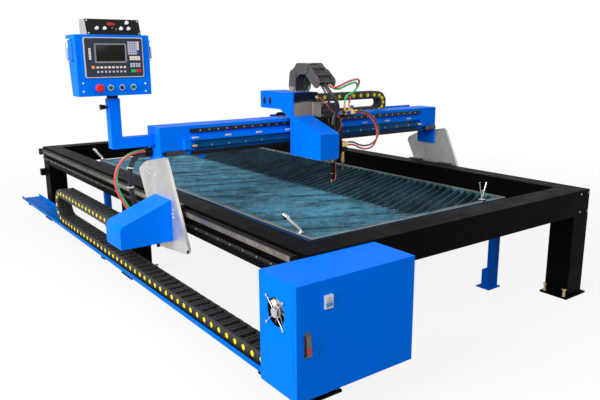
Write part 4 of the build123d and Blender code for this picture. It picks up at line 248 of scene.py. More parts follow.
def moulded(name, colour, rough, grain=0.9, level=0.5):
    """Injection-moulded plastic: one colour through, with a fine eroded grain that breaks the highlight."""
    tree, shader, place = surface(name, {"IOR": 1.49, "Specular IOR Level": level})
    drift(tree, shader, place, colour, 60.0, 0.07)
    uneven_gloss(tree, shader, place, 25.0, rough - 0.06, rough + 0.08)
    texture = add(tree, "ShaderNodeTexNoise", {"Vector": place, "Scale": per(grain), "Detail": 2.0})
    relief(tree, shader, texture.outputs["Fac"], 0.03)


def turned_metal(name, colour, rough):
    """Turned or plated metal: bright, with a slightly uneven polish and fine tool marks. The wave repeats
    after 0.31 of its size, so the marks are drawn about 1 mm apart, coarse enough to show."""
    tree, shader, place = surface(name, {"Metallic": 1.0})
    drift(tree, shader, place, colour, 30.0, 0.12)
    uneven_gloss(tree, shader, place, 18.0, max(0.05, rough - 0.07), rough + 0.1)
    marks = add(tree, "ShaderNodeTexWave", {"Vector": place, "Scale": per(3.0), "Distortion": 1.5,
                                            "Detail": 2.0}, bands_direction="Z")
    relief(tree, shader, marks.outputs["Fac"], 0.008)


def hose_rubber(name, colour, rough):
    """Extruded rubber or vinyl hose: smooth skin with a waxy sheen, and a faint cloth print of about 2 mm."""
    tree, shader, place = surface(name, {"IOR": 1.5, "Sheen Weight": 0.15})
    drift(tree, shader, place, colour, 35.0, 0.10)
    uneven_gloss(tree, shader, place, 22.0, rough - 0.08, rough + 0.1)
    cloth = add(tree, "ShaderNodeTexNoise", {"Vector": place, "Scale": per(2.0), "Detail": 2.0})
    relief(tree, shader, cloth.outputs["Fac"], 0.06)


def bed_paint(name, colour, top, wear, right):
    """Thin paint on cut strip: heat has browned the upper edges in patches about 24 mm wide, burns have left
    dark streaks about 500 by 110 mm along the strips, soot and painted shade darken it 50 mm below the tops,
    painted shade darkens the right half, and the outer corners of the edge are rubbed bare."""
    tree, shader, place = surface(name, {"IOR": 1.5, "Specular IOR Level": 0.2})
    tone = drift(tree, shader, place, colour, 55.0, 0.30)
    spot = add(tree, "ShaderNodeSeparateXYZ", {0: place})
    # Painted shade between the strips, with soot: darker towards 50 mm below the tops
    soot_and_depth_shade = add(tree, "ShaderNodeMapRange", {"Value": spot.outputs["Z"], "From Min": top - 0.050,
                                            "From Max": top - 0.008, "To Min": 0.4, "To Max": 1.0})
    side = add(tree, "ShaderNodeMath", {0: spot.outputs["X"]}, operation="ABSOLUTE")
    folded = add(tree, "ShaderNodeCombineXYZ", {"X": side.outputs[0], "Y": spot.outputs["Y"]})
    along = add(tree, "ShaderNodeMapping", {"Vector": folded.outputs[0], "Rotation": (0.0, 0.0, STRIP_TURN),
                                            "Scale": (0.5, 0.11, 1.0)}, vector_type="TEXTURE")
    burn = add(tree, "ShaderNodeTexNoise", {"Vector": along.outputs[0], "Scale": 1.0, "Detail": 6.0,
                                            "Roughness": 0.7})
    dark = add(tree, "ShaderNodeMapRange", {"Value": burn.outputs["Fac"], "From Min": 0.40,
                                            "From Max": 0.58, "To Min": 0.35, "To Max": 1.25})
    burns_and_depth_shade = add(tree, "ShaderNodeMath", {0: soot_and_depth_shade.outputs[0], 1: dark.outputs[0]}, operation="MULTIPLY")
    darkened_tone = add(tree, "ShaderNodeVectorMath", {0: tone, "Scale": burns_and_depth_shade.outputs[0]}, operation="SCALE")
    edge = add(tree, "ShaderNodeMapRange", {"Value": spot.outputs["Z"], "From Min": top - 0.009,
                                            "From Max": top - 0.001})
    patch = add(tree, "ShaderNodeTexNoise", {"Vector": place, "Scale": per(24.0), "Detail": 5.0,
                                             "Roughness": 0.7})
    broken = add(tree, "ShaderNodeMapRange", {"Value": patch.outputs["Fac"], "From Min": 0.46,
                                              "From Max": 0.70, "To Max": wear})
    worn = add(tree, "ShaderNodeMath", {0: edge.outputs[0], 1: broken.outputs[0]}, operation="MULTIPLY")
    mixed = add(tree, "ShaderNodeMix", {0: worn.outputs[0], 6: darkened_tone.outputs[0], 7: linear("#9A8A74")},
                data_type="RGBA")
    flank = add(tree, "ShaderNodeMapRange", {"Value": side.outputs[0], "From Min": BED_SIDE - RUBBED,
                                             "From Max": BED_SIDE})
    front = add(tree, "ShaderNodeMapRange", {"Value": spot.outputs["Y"], "From Min": BED_FRONT + RUBBED,
                                             "From Max": BED_FRONT})
    corner = add(tree, "ShaderNodeMath", {0: flank.outputs[0], 1: front.outputs[0]}, operation="MAXIMUM")
    bare = add(tree, "ShaderNodeMix", {0: corner.outputs[0], 6: mixed.outputs[2], 7: linear("#B0A184")},
               data_type="RGBA")
    # Painted shade: the right half is darker, where the strips' sides face away from the light
    right_half_shade = add(tree, "ShaderNodeMapRange", {"Value": spot.outputs["X"], "From Min": -0.06, "From Max": 0.06,
                                            "To Min": 1.0, "To Max": right})
    shade = add(tree, "ShaderNodeVectorMath", {0: bare.outputs[2], "Scale": right_half_shade.outputs[0]},
                operation="SCALE")
    tree.links.new(shade.outputs[0], shader.inputs["Base Color"])
    uneven_gloss(tree, shader, place, 40.0, 0.42, 0.62)
    relief(tree, shader, patch.outputs["Fac"], 0.15)


def dark_glass(name, colour):
    """Acrylic window over an unlit display: near black and glossy, with the faint haze of wiped dust."""
    tree, shader, place = surface(name, {"IOR": 1.49, "Specular IOR Level": 0.12})
    drift(tree, shader, place, colour, 70.0, 0.12)
    uneven_gloss(tree, shader, place, 30.0, 0.14, 0.28)


def lit_display(name, colour, strength):
    """Lit segments behind a tinted window."""
    tree, shader, place = surface(name, {"Emission Strength": strength, "Emission Color": colour,
                                               "IOR": 1.49})
    drift(tree, shader, place, colour, 9.0, 0.25)
    uneven_gloss(tree, shader, place, 12.0, 0.2, 0.32)


class CUTTER_OT_finishes(bpy.types.Operator):
    """Makes every finish of the machine."""
    bl_idname = "cutter.finishes"
    bl_label = "Make finishes"

    def execute(self, context):
        colours = context.scene.cutter_colours
        powder_coat("blue_powder_coat", colours.blue, 0.36, 0.50, 0.04, "#0088FF")
        # Oiled blue, darker also as painted shade under the gantry's ledge and on the bed's sides
        powder_coat("oiled_blue_paint", linear("#0B4E82"), 0.30, 0.44, 0.3, "#4FA8D8")
        # Navy as painted shade: the open front of the carriage arm, and the holes in the gantry's arm
        powder_coat("navy_powder_coat", linear("#0B1530"), 0.40, 0.55, 0.1)
        powder_coat("black_enamel", colours.black, 0.42, 0.58, 0.02, "#FFEBDD")
        powder_coat("silver_paint", linear("#A19D98"), 0.36, 0.5, 0.3)
        # Strips and edge of the bed: burns, heat and wear, with painted shade deep down and over the right
        # half
        bed_paint("burnt_strip_paint", colours.bed, BED_TOP, 0.6, 0.36)
        bed_paint("bed_edge_paint", linear("#42707A"), BED_TOP, 0.25, 0.8)
        # A darker copy of the blue paint: painted shade on the bed's legs
        powder_coat("bed_leg_enamel", linear("#005BC4"), 0.36, 0.50, 0.04, "#0088FF")
        # A darker copy of the blue paint: painted shade on the chain tray
        powder_coat("tray_powder_coat", linear("#0070D6"), 0.36, 0.50, 0.015, "#0088FF")
        drawn_steel("ground_rail_steel", linear("#6F675F"), 1, 0.48, top=RAIL_TOP)
        drawn_steel("blackened_rack_steel", linear("#232120"), 1, 0.45)
        drawn_steel("cross_rail_steel", linear("#2F2A26"), 0, 0.38)
        drawn_steel("dark_bearing_steel", linear("#4E4D4D"), 2, 0.36)
        milled_plate("milled_aluminium", linear("#C8C5C1"), 0.42)
        milled_plate("black_anodised_plate", linear("#1A1A1C"), 0.5)
        moulded("chain_nylon", colours.chain, 0.52, 1.2, 0.3)
        moulded("marker_nylon", colours.marker, 0.46, level=0.2)
        moulded("grey_nylon", linear("#4F4F53"), 0.48, level=0.3)
        moulded("tan_nylon", linear("#A9957C"), 0.5)
        moulded("black_abs", linear("#111111"), 0.42, level=0.15)
        moulded("slate_membrane", linear("#2F3543"), 0.5, 0.6, 0.2)
        moulded("cream_abs", linear("#D9C8B6"), 0.46)
        moulded("grey_abs", linear("#8F8F96"), 0.44)
        moulded("white_abs", linear("#ECEBE7"), 0.38)
        moulded("cream_key", linear("#FAEBD4"), 0.42, level=0.2)
        moulded("lilac_key", linear("#C9C9DD"), 0.42, level=0.2)
        moulded("orange_key", linear("#F59A34"), 0.4, level=0.2)
        moulded("blue_key", linear("#1B4CE4"), 0.4, level=0.2)
        moulded("sky_blue_abs", linear("#2A93E6"), 0.4, level=0.2)
        moulded("red_abs", linear("#EE1C24"), 0.3, level=0.3)
        moulded("green_abs", linear("#0A6B33"), 0.34, level=0.2)
        moulded("green_key", linear("#22C25C"), 0.4, level=0.2)
        turned_metal("machined_brass", linear("#E6C173"), 0.26)
        turned_metal("bright_brass", linear("#F2D28C"), 0.2)
        turned_metal("yellow_zinc", linear("#B09B6C"), 0.36)
        turned_metal("bright_chrome", linear("#CFCFD3"), 0.12)
        turned_metal("satin_chrome", linear("#8D8B88"), 0.26)
        turned_metal("zinc_plate", linear("#97979B"), 0.34)
        turned_metal("latch_zinc", linear("#6A6258"), 0.42)
        milled_plate("fan_steel", linear("#B4A89C"), 0.36)
        milled_plate("motor_casting", linear("#968D82"), 0.5)
        milled_plate("gearbox_casting", linear("#2E2D2E"), 0.52)
        hose_rubber("red_hose_rubber", colours.red_hose, 0.36)
        hose_rubber("green_hose_rubber", colours.green_hose, 0.36)
        hose_rubber("black_hose_rubber", linear("#1C1C1F"), 0.42)
        # Nearly black: painted shade inside the chain links
        hose_rubber("sooty_line_rubber", linear("#060607"), 0.6)
        hose_rubber("grey_hose_rubber", linear("#5A5A5C"), 0.42)
        dark_glass("screen_acrylic", linear("#1A1817"))
        lit_display("red_segments", linear("#E8261F"), 0.5)
        TREES.update(bolts=bolt_tree(), keys=key_tree(), copies=copy_tree())
        return {"FINISHED"}


# Shapes in millimetres

def aim(axis):
    """Rotation that points a shape's +Z along an axis."""
    return Vector(UP).rotation_difference(Vector(axis))


def soften(shape, edges, rounding):
    """Rounds edges of a shape."""
    bmesh.ops.bevel(shape, geom=edges, offset=rounding, segments=2, profile=0.5, affect="EDGES",
                    clamp_overlap=True)


def band(shape, low, high):
    """Faces between two rings of as many corners."""
    for k in range(len(low)):
        n = (k + 1) % len(low)
        shape.faces.new((low[k], low[n], high[n], high[k]))


def corners(shape, outline, axis, level):
    """Corners of an outline in the two other axes, in their order, at a level along axis 0, 1 or 2."""
    verts = []
    for u, v in outline:
        spot = [u, v]
        spot.insert(axis, level)
        verts.append(shape.verts.new(spot))
    return verts


def box(x0, x1, y0, y1, z0, z1, rounding):
    """A block with rounded edges."""
    shape = bmesh.new()
    bmesh.ops.create_cube(shape, size=1.0)
    for vert in shape.verts:
        vert.co = Vector(((x0 + x1) / 2 + vert.co.x * (x1 - x0), (y0 + y1) / 2 + vert.co.y * (y1 - y0),
                          (z0 + z1) / 2 + vert.co.z * (z1 - z0)))
    soften(shape, shape.edges[:], rounding)
    return shape


def turned(place, axis, profile, steps):
    """A turned shape of (radius, height) rings about an axis from a place, closed at both ends."""
    shape = bmesh.new()
    turn = aim(axis).to_matrix()
    rings = []
    for radius, height in profile:
        ring = []
        for k in range(steps):
            angle = 2 * math.pi * k / steps
            spot = Vector((radius * math.cos(angle), radius * math.sin(angle), height))
            ring.append(shape.verts.new(Vector(place) + turn @ spot))
        rings.append(ring)
    for low, high in zip(rings, rings[1:]):
        band(shape, low, high)
    shape.faces.new(list(reversed(rings[0])))
    shape.faces.new(rings[-1])
    return shape


def hoop(place, axis, radius, wire, steps, sides):
    """A closed ring of round wire about an axis."""
    shape = bmesh.new()
    turn = aim(axis).to_matrix()
    rings = []
    for k in range(steps):
        angle = 2 * math.pi * k / steps
        ring = []
        for j in range(sides):
            bend = 2 * math.pi * j / sides
            reach = radius + wire * math.cos(bend)
            spot = Vector((reach * math.cos(angle), reach * math.sin(angle), wire * math.sin(bend)))
            ring.append(shape.verts.new(Vector(place) + turn @ spot))
        rings.append(ring)
    for k in range(steps):
        band(shape, rings[k], rings[(k + 1) % steps])
    return shape


def prism(outline, axis, start, end, rounding):
    """An outline extruded along axis 0, 1 or 2, with its sharp edges rounded."""
    shape = bmesh.new()
    face = shape.faces.new(corners(shape, outline, axis, start))
    moved = bmesh.ops.extrude_face_region(shape, geom=[face])["geom"]
    way = [0.0, 0.0, 0.0]
    way[axis] = end - start
    bmesh.ops.translate(shape, vec=way, verts=[v for v in moved if isinstance(v, bmesh.types.BMVert)])
    bmesh.ops.recalc_face_normals(shape, faces=shape.faces[:])
    sharp = [e for e in shape.edges if len(e.link_faces) == 2 and e.calc_face_angle() > SMOOTH_ANGLE]
    soften(shape, sharp, rounding)
    return shape


def bar(start, end, width, thickness):
    """A flat bar between two places, its width level."""
    start, end = Vector(start), Vector(end)
    shape = box(0, (end - start).length, -width / 2, width / 2, -thickness / 2, thickness / 2, 1.5)
    shape.transform(Matrix.Translation(start) @ (end - start).to_track_quat("X", "Z").to_matrix().to_4x4())
    return shape


def mesh_of(name, shapes):
    """One mesh from several shapes, with smooth faces between its sharp edges."""
    whole = bmesh.new()
    for shape in shapes:
        part = bpy.data.meshes.new(name + "_part")
        shape.to_mesh(part)
        shape.free()
        whole.from_mesh(part)
        bpy.data.meshes.remove(part)
    whole.transform(Matrix.Scale(MM, 4))
    bmesh.ops.recalc_face_normals(whole, faces=whole.faces[:])
    mesh = bpy.data.meshes.new(name)
    whole.to_mesh(mesh)
    whole.free()
    mesh.shade_smooth()
    mesh.set_sharp_from_angle(angle=SMOOTH_ANGLE)
    return mesh


def show(name, data):
    """A new object in the scene that holds a mesh, curve, lamp or camera."""
    thing = bpy.data.objects.new(name, data)
    bpy.context.scene.collection.objects.link(thing)
    return thing


def settle(thing, body, finish, replaces=()):
    """Puts a finished object on its body."""
    if finish not in [m.name for m in thing.data.materials if m]:
        thing.data.materials.clear()
        thing.data.materials.append(bpy.data.materials[finish])
    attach(thing, body)
    if replaces:
        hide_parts(*replaces)
    return thing


def piece(name, body, finish, *shapes):
    """One object of several shapes, finished and on its body."""
    return settle(show(name, mesh_of(name, shapes)), body, finish)


# Repeated shapes, made by Geometry Nodes on points

def tree_of(name, sizes):
    """A Geometry Nodes tree that takes points, with named size inputs and a finish."""
    tree = bpy.data.node_groups.new(name, "GeometryNodeTree")
    tree.interface.new_socket("Points", in_out="INPUT", socket_type="NodeSocketGeometry")
    for label, kind in sizes:
        tree.interface.new_socket(label, in_out="INPUT", socket_type=kind)
    tree.interface.new_socket("Finish", in_out="INPUT", socket_type="NodeSocketMaterial")
    tree.interface.new_socket("Copies", in_out="OUTPUT", socket_type="NodeSocketGeometry")
    return tree, add(tree, "NodeGroupInput").outputs


def end_tree(tree, given, copy):
    """Sets a copy on each point, turned as the point says, as a real mesh with its finish."""
    turn = add(tree, "GeometryNodeInputNamedAttribute", {"Name": "turn"}, data_type="FLOAT_VECTOR")
    angle = add(tree, "FunctionNodeEulerToRotation", {0: turn.outputs[0]})
    laid = add(tree, "GeometryNodeInstanceOnPoints", {"Points": given["Points"], "Instance": copy,
                                                      "Rotation": angle.outputs[0]})
    real = add(tree, "GeometryNodeRealizeInstances", {0: laid.outputs[0]})
    coated = add(tree, "GeometryNodeSetMaterial", {0: real.outputs[0], "Material": given["Finish"]})
    add(tree, "NodeGroupOutput", {0: coated.outputs[0]})
    return tree


def grown(tree, mesh, picked, height, scale):
    """A face pulled up by a height and then scaled."""
    up = add(tree, "GeometryNodeExtrudeMesh", {"Mesh": mesh, "Selection": picked, "Offset Scale": height,
                                               "Individual": False})
    sized = add(tree, "GeometryNodeScaleElements", {"Geometry": up.outputs["Mesh"],
                                                    "Selection": up.outputs["Top"], "Scale": scale})
    return sized.outputs[0], up.outputs["Top"]


def bolt_tree():
    """Socket-head bolts: a chamfered head with a hollow in its top."""
    tree, given = tree_of("Bolts", [("Head Radius", "NodeSocketFloat"), ("Head Height", "NodeSocketFloat"),
                                    ("Socket Depth", "NodeSocketFloat")])
    disc = add(tree, "GeometryNodeMeshCircle", {"Vertices": 12, "Radius": given["Head Radius"]},
               fill_type="NGON")
    chamfer = add(tree, "ShaderNodeMath", {0: given["Head Height"], 1: 0.2}, operation="MULTIPLY")
    body = add(tree, "ShaderNodeMath", {0: given["Head Height"], 1: 0.8}, operation="MULTIPLY")
    deep = add(tree, "ShaderNodeMath", {0: given["Socket Depth"], 1: -1.0}, operation="MULTIPLY")
    mesh, top = grown(tree, disc.outputs[0], True, body.outputs[0], 1.0)
    mesh, top = grown(tree, mesh, top, chamfer.outputs[0], 0.86)
    mesh, top = grown(tree, mesh, top, 0.0, 0.6)
    mesh, _ = grown(tree, mesh, top, deep.outputs[0], 0.9)
    return end_tree(tree, given, mesh)


def key_tree():
    """Keys of a pad: a rounded outline raised from the panel, with its edge drawn in."""
    tree, given = tree_of("Keys", [("Width", "NodeSocketFloat"), ("Height", "NodeSocketFloat"),
                                   ("Corner", "NodeSocketFloat"), ("Rise", "NodeSocketFloat")])
    outline = add(tree, "GeometryNodeCurvePrimitiveQuadrilateral", {"Width": given["Width"],
                                                                    "Height": given["Height"]})
    soft = add(tree, "GeometryNodeFilletCurve", {"Curve": outline.outputs[0], "Radius": given["Corner"],
                                                 "Count": 3, "Limit Radius": True}, mode="POLY")
    face = add(tree, "GeometryNodeFillCurve", {"Curve": soft.outputs[0]}, mode="NGONS")
    mesh, _ = grown(tree, face.outputs[0], True, given["Rise"], 0.9)
    return end_tree(tree, given, mesh)


def copy_tree():
    """Copies of one shape, such as links of a chain."""
    tree, given = tree_of("Copies of a shape", [("Shape", "NodeSocketObject")])
    shape = add(tree, "GeometryNodeObjectInfo", {"Object": given["Shape"]})
    return end_tree(tree, given, shape.outputs["Geometry"])


def plain(thing):
    """The mesh of an object as its modifiers or its curve make it."""
    bpy.context.view_layer.update()
    graph = bpy.context.evaluated_depsgraph_get()
    return bpy.data.meshes.new_from_object(thing.evaluated_get(graph), depsgraph=graph)


def copies(name, finish, tree, spots, **values):
    """Copies that a tree makes on (place in millimetres, turn) spots, as one plain mesh."""
    points = bpy.data.meshes.new(name)
    points.from_pydata([[c * MM for c in place] for place, _ in spots], [], [])
    turn = points.attributes.new("turn", "FLOAT_VECTOR", "POINT")
    for row, (_, angle) in zip(turn.data, spots):
        row.vector = angle
    thing = show(name, points)
    maker = thing.modifiers.new("Copies", "NODES")
    maker.node_group = tree
    values["finish"] = bpy.data.materials[finish]
    for socket in tree.interface.items_tree:
        label = socket.name.replace(" ", "_").lower()
        if socket.in_out == "INPUT" and label in values:
            maker[socket.identifier] = values[label]
    mesh = plain(thing)
    thing.modifiers.clear()
    thing.data = mesh
    mesh.shade_smooth()
    mesh.set_sharp_from_angle(angle=SMOOTH_ANGLE)
    return thing


def bolts(name, body, finish, spots, radius, height, depth):
    """Bolt heads of a radius, a height and a socket's depth in millimetres, on a body."""
    thing = copies(name, finish, TREES["bolts"], spots, head_radius=radius * MM, head_height=height * MM,
                   socket_depth=depth * MM)
    settle(thing, body, finish)


def facing(axis):
    """Turn of a spot whose copy has its +Z along an axis."""
    return aim(axis).to_euler()


def extent(node):
    """Lowest and highest corners of a node at rest, in millimetres."""
    return [Vector(c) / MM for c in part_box(node)]


def row(start, end, pitch):
    """Evenly spaced places between two ends, close to a pitch."""
    count = max(1, round(abs(end - start) / pitch))
    return [start + (end - start) * k / count for k in range(count + 1)]


# Solids that keep their shape

# The finish of each node, then other finishes for its faces whose middle lies in spans of X, Y and Z in
# millimetres
PAINTED = {
    "table_beams": ("black_enamel",),
    "legs": ("black_enamel", ("yellow_zinc", (-915, -885), None, (12.2, 64)),
             ("yellow_zinc", (885, 915), None, (12.2, 64))),
    "guide_rails": ("ground_rail_steel", ("black_enamel", None, (-2000, -1955.1), None),
                    ("black_enamel", None, (1955.1, 2000), None),
                    ("black_enamel", None, None, (651.9, 652.1))),
    "drive_racks": ("blackened_rack_steel",),
    # Legs in a darker copy of the blue, and outer sides in the oiled blue: painted shade
    "bed_frame": ("bed_edge_paint", ("bed_leg_enamel", None, None, (-1, 499)),
                  ("oiled_blue_paint", (-765, -755), None, (501, 588)),
                  ("oiled_blue_paint", (755, 765), None, (501, 588)),
                  ("oiled_blue_paint", None, (-1650, -1640), (501, 588))),
    "slats": ("burnt_strip_paint",),
    # The tray in a darker copy of the blue: painted shade
    "chain_tray": ("tray_powder_coat", ("black_enamel", None, None, (150, 168.9))),
    "cabinet_shell": ("blue_powder_coat", ("black_abs", (-1294.9, -1260), (-2190, -2066), (457, 581)),
                      ("bright_chrome", (-1320, -1298.1), None, None),
                      ("zinc_plate", (-697.9, -680), None, None)),
    "control_electronics": ("zinc_plate", ("black_abs", (-940, -720), (-2112, -2021.1), (450, 620)),
                            ("silver_paint", (-950, -720), (-2075, -2021.1), (240, 380)),
                            ("cream_abs", (-1125, -1045), (-2095, -2021.1), (240, 340)),
                            ("green_abs", (-1125, -970), (-2065, -2021.1), (400, 460))),
    "work_clamps": ("bright_chrome",),
    "cabinet_door": ("blue_powder_coat", ("latch_zinc", (-1266, -1236), (-2280, -2261.1), (370, 474)),
                     ("white_abs", (-1178, -1128), (-2280, -2261.1), (530, 610)),
                     ("zinc_plate", (-697.9, -680), None, None)),
    "door_latch": ("latch_zinc",),
    "breaker_toggle": ("sky_blue_abs",),
    "fan_rotor": ("fan_steel",),
    "gantry_beam": ("blue_powder_coat",),
    "side_plates": ("milled_aluminium", ("black_abs", (-1230, -1131.1), None, (380, 470))),
    "bearing_blocks": ("dark_bearing_steel",),
    "motor_covers": ("blue_powder_coat",),
    "drive_motors": ("gearbox_casting",),
    # The lower rail in the oiled blue: painted shade under the ledge, with oil
    "cross_rails": ("cross_rail_steel", ("blackened_rack_steel", None, None, (900, 932)),
                    ("oiled_blue_paint", None, None, (949, 971))),
    "pendant_post": ("blue_powder_coat",),
    "end_stops": ("blue_powder_coat", ("machined_brass", (-929.9, -880), (-760, -730), (945, 975)),
                  ("machined_brass", (880, 929.9), (-760, -730), (945, 975)),
                  ("dark_bearing_steel", (-1095, -975), None, (912, 945)),
                  ("dark_bearing_steel", (975, 1095), None, (912, 945)),
                  ("machined_brass", (-870, -840), (-721.9, -700), (880, 912)),
                  ("black_abs", (-1160, -1113.1), None, None)),
    "drive_pinions": ("dark_bearing_steel",),
    "cross_pinion": ("dark_bearing_steel",),
    "pendant_box": ("blue_powder_coat", ("bright_chrome", None, (-700, -690.1), None),
                    ("bright_chrome", (-1600, -1518.1), None, None),
                    ("bright_chrome", (-1127.9, -1000), None, None),
                    ("black_abs", None, None, (1170, 1256.9))),
    "controller": ("cream_abs",),
    "height_control": ("silver_paint", ("black_abs", None, (-660, -622), None)),
    "lock_knob": ("black_abs",),
    "emergency_stop": ("red_abs",),
    "start_button": ("green_abs",),
    "mode_selector": ("black_abs",),
    "pause_button": ("green_abs",),
    "lift_frame": ("black_anodised_plate",),
    "carriage_covers": ("blue_powder_coat",
                        # The arm's open front in navy: painted shade
                        ("navy_powder_coat", (-247.9, -60), (-793.5, -780), (1180, 1231))),
    "carriage_blocks": ("dark_bearing_steel",),
    "carriage_motors": ("motor_casting", ("gearbox_casting", (-94.9, 40), None, (1080, 1170)),
                        ("gearbox_casting", None, None, (830, 930))),
    "arch_chain": ("grey_nylon", ("tan_nylon", None, (-700, -630), (1233, 1262))),
    "valve_block": ("machined_brass", ("black_anodised_plate", None, None, (1040, 1083.9))),
    "oxygen_knob": ("blue_key",),
    "fuel_knob": ("blue_key",),
    "slide_plate": ("black_anodised_plate",),
    "plasma_torch": ("black_abs", ("bright_chrome", None, None, (732, 737)),
                     ("bright_brass", None, None, (660, 696))),
    "cutting_torch": ("machined_brass", ("satin_chrome", None, None, (790, 806))),
    "lead_screw": ("dark_bearing_steel",),
}

# Rounding of each node's sharp edges, and the reach within which its loose corners are joined, in millimetres
ROUNDED = {
    "table_beams": 5.0, "legs": 4.0, "cabinet_shell": 2.0, "cabinet_door": 2.0, "gantry_beam": 3.0,
    "motor_covers": 2.0, "pendant_post": 4.0, "pendant_box": 2.0, "height_control": 1.5,
    "carriage_covers": 1.5, "bed_frame": 2.0, "side_plates": 1.2, "carriage_motors": 2.0, "chain_tray": 0.8,
    "lift_frame": 1.0, "slide_plate": 1.0, "carriage_blocks": 1.0, "bearing_blocks": 1.0, "door_latch": 1.5,
}
WELD_REACH = 0.01


class CUTTER_OT_solids(bpy.types.Operator):
    """Gives the CAD solids their finishes, and their sharp edges a small rounding."""
    bl_idname = "cutter.solids"
    bl_label = "Finish solids"

    def execute(self, context):
        for node, (finish, *places) in PAINTED.items():
            self.paint(node, finish, places)
        for number in range(1, 6):
            self.paint(f"height_knob_{number}", "white_abs", [])
        for node, width in ROUNDED.items():
            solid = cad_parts[node]
            weld = solid.modifiers.new("Weld", "WELD")
            weld.merge_threshold = WELD_REACH * MM
            edge = solid.modifiers.new("Edges", "BEVEL")
            edge.width = width * MM
            edge.segments = 2
            edge.limit_method = "ANGLE"
            edge.angle_limit = EDGE_ANGLE
            edge.harden_normals = True
        return {"FINISHED"}

    def paint(self, node, finish, places):
        """Gives a node its finish, and its faces in some places another."""
        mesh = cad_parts[node].data
        mesh.materials.clear()
        for name in (finish, *[p[0] for p in places]):
            mesh.materials.append(bpy.data.materials[name])
        for face in mesh.polygons:
            face.material_index = 0
            for index, (_, *spans) in enumerate(places, start=1):
                limits = [(c / MM, span) for c, span in zip(face.center, spans) if span]
                if all(low <= c <= high for c, (low, high) in limits):
                    face.material_index = index


# Hoses, cables and wires

# The finish of each line, the name of its radius, its free length in metres, and its control points in
# millimetres
SIDE_LINES = {
    "side_hose_red": ("red_hose_rubber", "hose_radius", 0.626, [
        (-1153, -614, 936), (-1194, -614, 936), (-1250, -615, 924), (-1298, -613, 894), (-1328, -609, 846),
        (-1338, -604, 790), (-1330, -598, 734), (-1309, -594, 682), (-1281, -591, 632), (-1252, -589, 582),
        (-1225, -588, 532), (-1208, -588, 498), (-1208, -588, 464)]),
    "side_hose_green": ("green_hose_rubber", "hose_radius", 0.620, [
        (-1153, -598, 940), (-1190, -598, 940), (-1243, -600, 928), (-1287, -599, 898), (-1315, -597, 850),
        (-1325, -592, 794), (-1317, -586, 738), (-1296, -582, 686), (-1268, -579, 636), (-1239, -577, 586),
        (-1211, -576, 536), (-1192, -576, 500), (-1192, -576, 464)]),
    "side_cable_bundle": ("black_hose_rubber", "bundle_radius", 0.521, [
        (-1153, -600, 916), (-1184, -600, 916), (-1218, -598, 898), (-1236, -594, 862), (-1242, -588, 814),
        (-1241, -582, 760), (-1234, -577, 704), (-1222, -574, 650), (-1206, -573, 598), (-1188, -573, 550),
        (-1170, -575, 506), (-1170, -575, 464)]),
}
GAS_LINES = {
    "gas_hose_red": ("red_hose_rubber", "hose_radius", 0.533, [
        (-92, -928.6, 1288.2), (-92, -943, 1277), (-83, -957, 1268), (-68, -966, 1265.5), (-42, -968, 1271),
        (-8, -963, 1281), (34, -951, 1292), (80, -936, 1301), (134, -918, 1308), (180, -898, 1309.5),
        (214, -876, 1296), (222, -856, 1266), (209, -840, 1235), (184, -834, 1207), (164, -835, 1180),
        (164, -835, 1148)]),
    "gas_hose_green": ("green_hose_rubber", "hose_radius", 0.497, [
        (-76, -928.6, 1288.2), (-76, -940, 1279.3), (-68, -949, 1267), (-53, -955, 1258), (-28, -957, 1256),
        (6, -952, 1264), (48, -939, 1275), (92, -924, 1283), (138, -906, 1289), (176, -886, 1289),
        (203, -868, 1274), (204, -860, 1246), (184, -850, 1222), (150, -842, 1212), (126, -835, 1190),
        (126, -835, 1148)]),
    "lift_cable": ("black_hose_rubber", "lift_cable_radius", 0.271, [
        (-148, -928.6, 1288.2), (-148, -955, 1267.6), (-144, -974, 1238), (-130, -981, 1202),
        (-110, -974, 1168), (-92, -950, 1141), (-80, -914, 1124), (-80, -870, 1124)]),
}
TORCH_LINES = {
    "torch_lead": ("black_hose_rubber", "lead_radius", 0.318, [
        (-120, -928.6, 1288.2), (-120, -964, 1260.5), (-106, -989, 1222), (-76, -998, 1184),
        (-52, -986, 1146), (-48, -962, 1110), (-62, -945, 1072), (-62, -945, 1025)]),
    "sensing_wire": ("red_hose_rubber", "wire_radius", 0.348, [
        (-72, -793, 1202), (-72, -822, 1202), (-72, -852, 1188), (-66, -882, 1166), (-50, -896, 1136),
        (-26, -908, 1112), (0, -922, 1088), (14, -934, 1058), (10, -942, 1024), (-8, -945, 996),
        (-24, -945, 990), (-45, -945, 990)]),
    "torch_hose_black": ("grey_hose_rubber", "torch_hose_radius", 0.653, [
        (212, -840, 1103), (250, -840, 1103), (304, -848, 1090), (352, -858, 1060), (384, -868, 1014),
        (392, -878, 962), (370, -888, 916), (326, -898, 888), (272, -908, 878), (218, -918, 880),
        (170, -930, 892), (128, -940, 910), (88, -945, 921), (46, -945, 921)]),
    "torch_hose_red": ("red_hose_rubber", "torch_hose_radius", 0.642, [
        (212, -830, 1091), (250, -830, 1091), (300, -840, 1080), (344, -852, 1052), (372, -864, 1006),
        (378, -878, 952), (356, -894, 900), (314, -906, 868), (262, -916, 856), (208, -926, 862),
        (160, -936, 878), (122, -943, 896), (86, -945, 904), (46, -945, 904)]),
}

# Heights of the two ties round the cable bundle
TIE_HEIGHTS = (850, 738)


def route(name, points):
    """A smooth open line with those control points."""
    curve = bpy.data.curves.new(name, "CURVE")
    curve.dimensions = "3D"
    curve.resolution_u = 6
    curve.use_fill_caps = True
    spline = curve.splines.new("NURBS")
    spline.points.add(len(points) - 1)
    for spot, place in zip(spline.points, points):
        spot.co = (*[c * MM for c in place], 1.0)
    spline.order_u = 3
    spline.use_endpoint_u = True
    return show(name, curve)


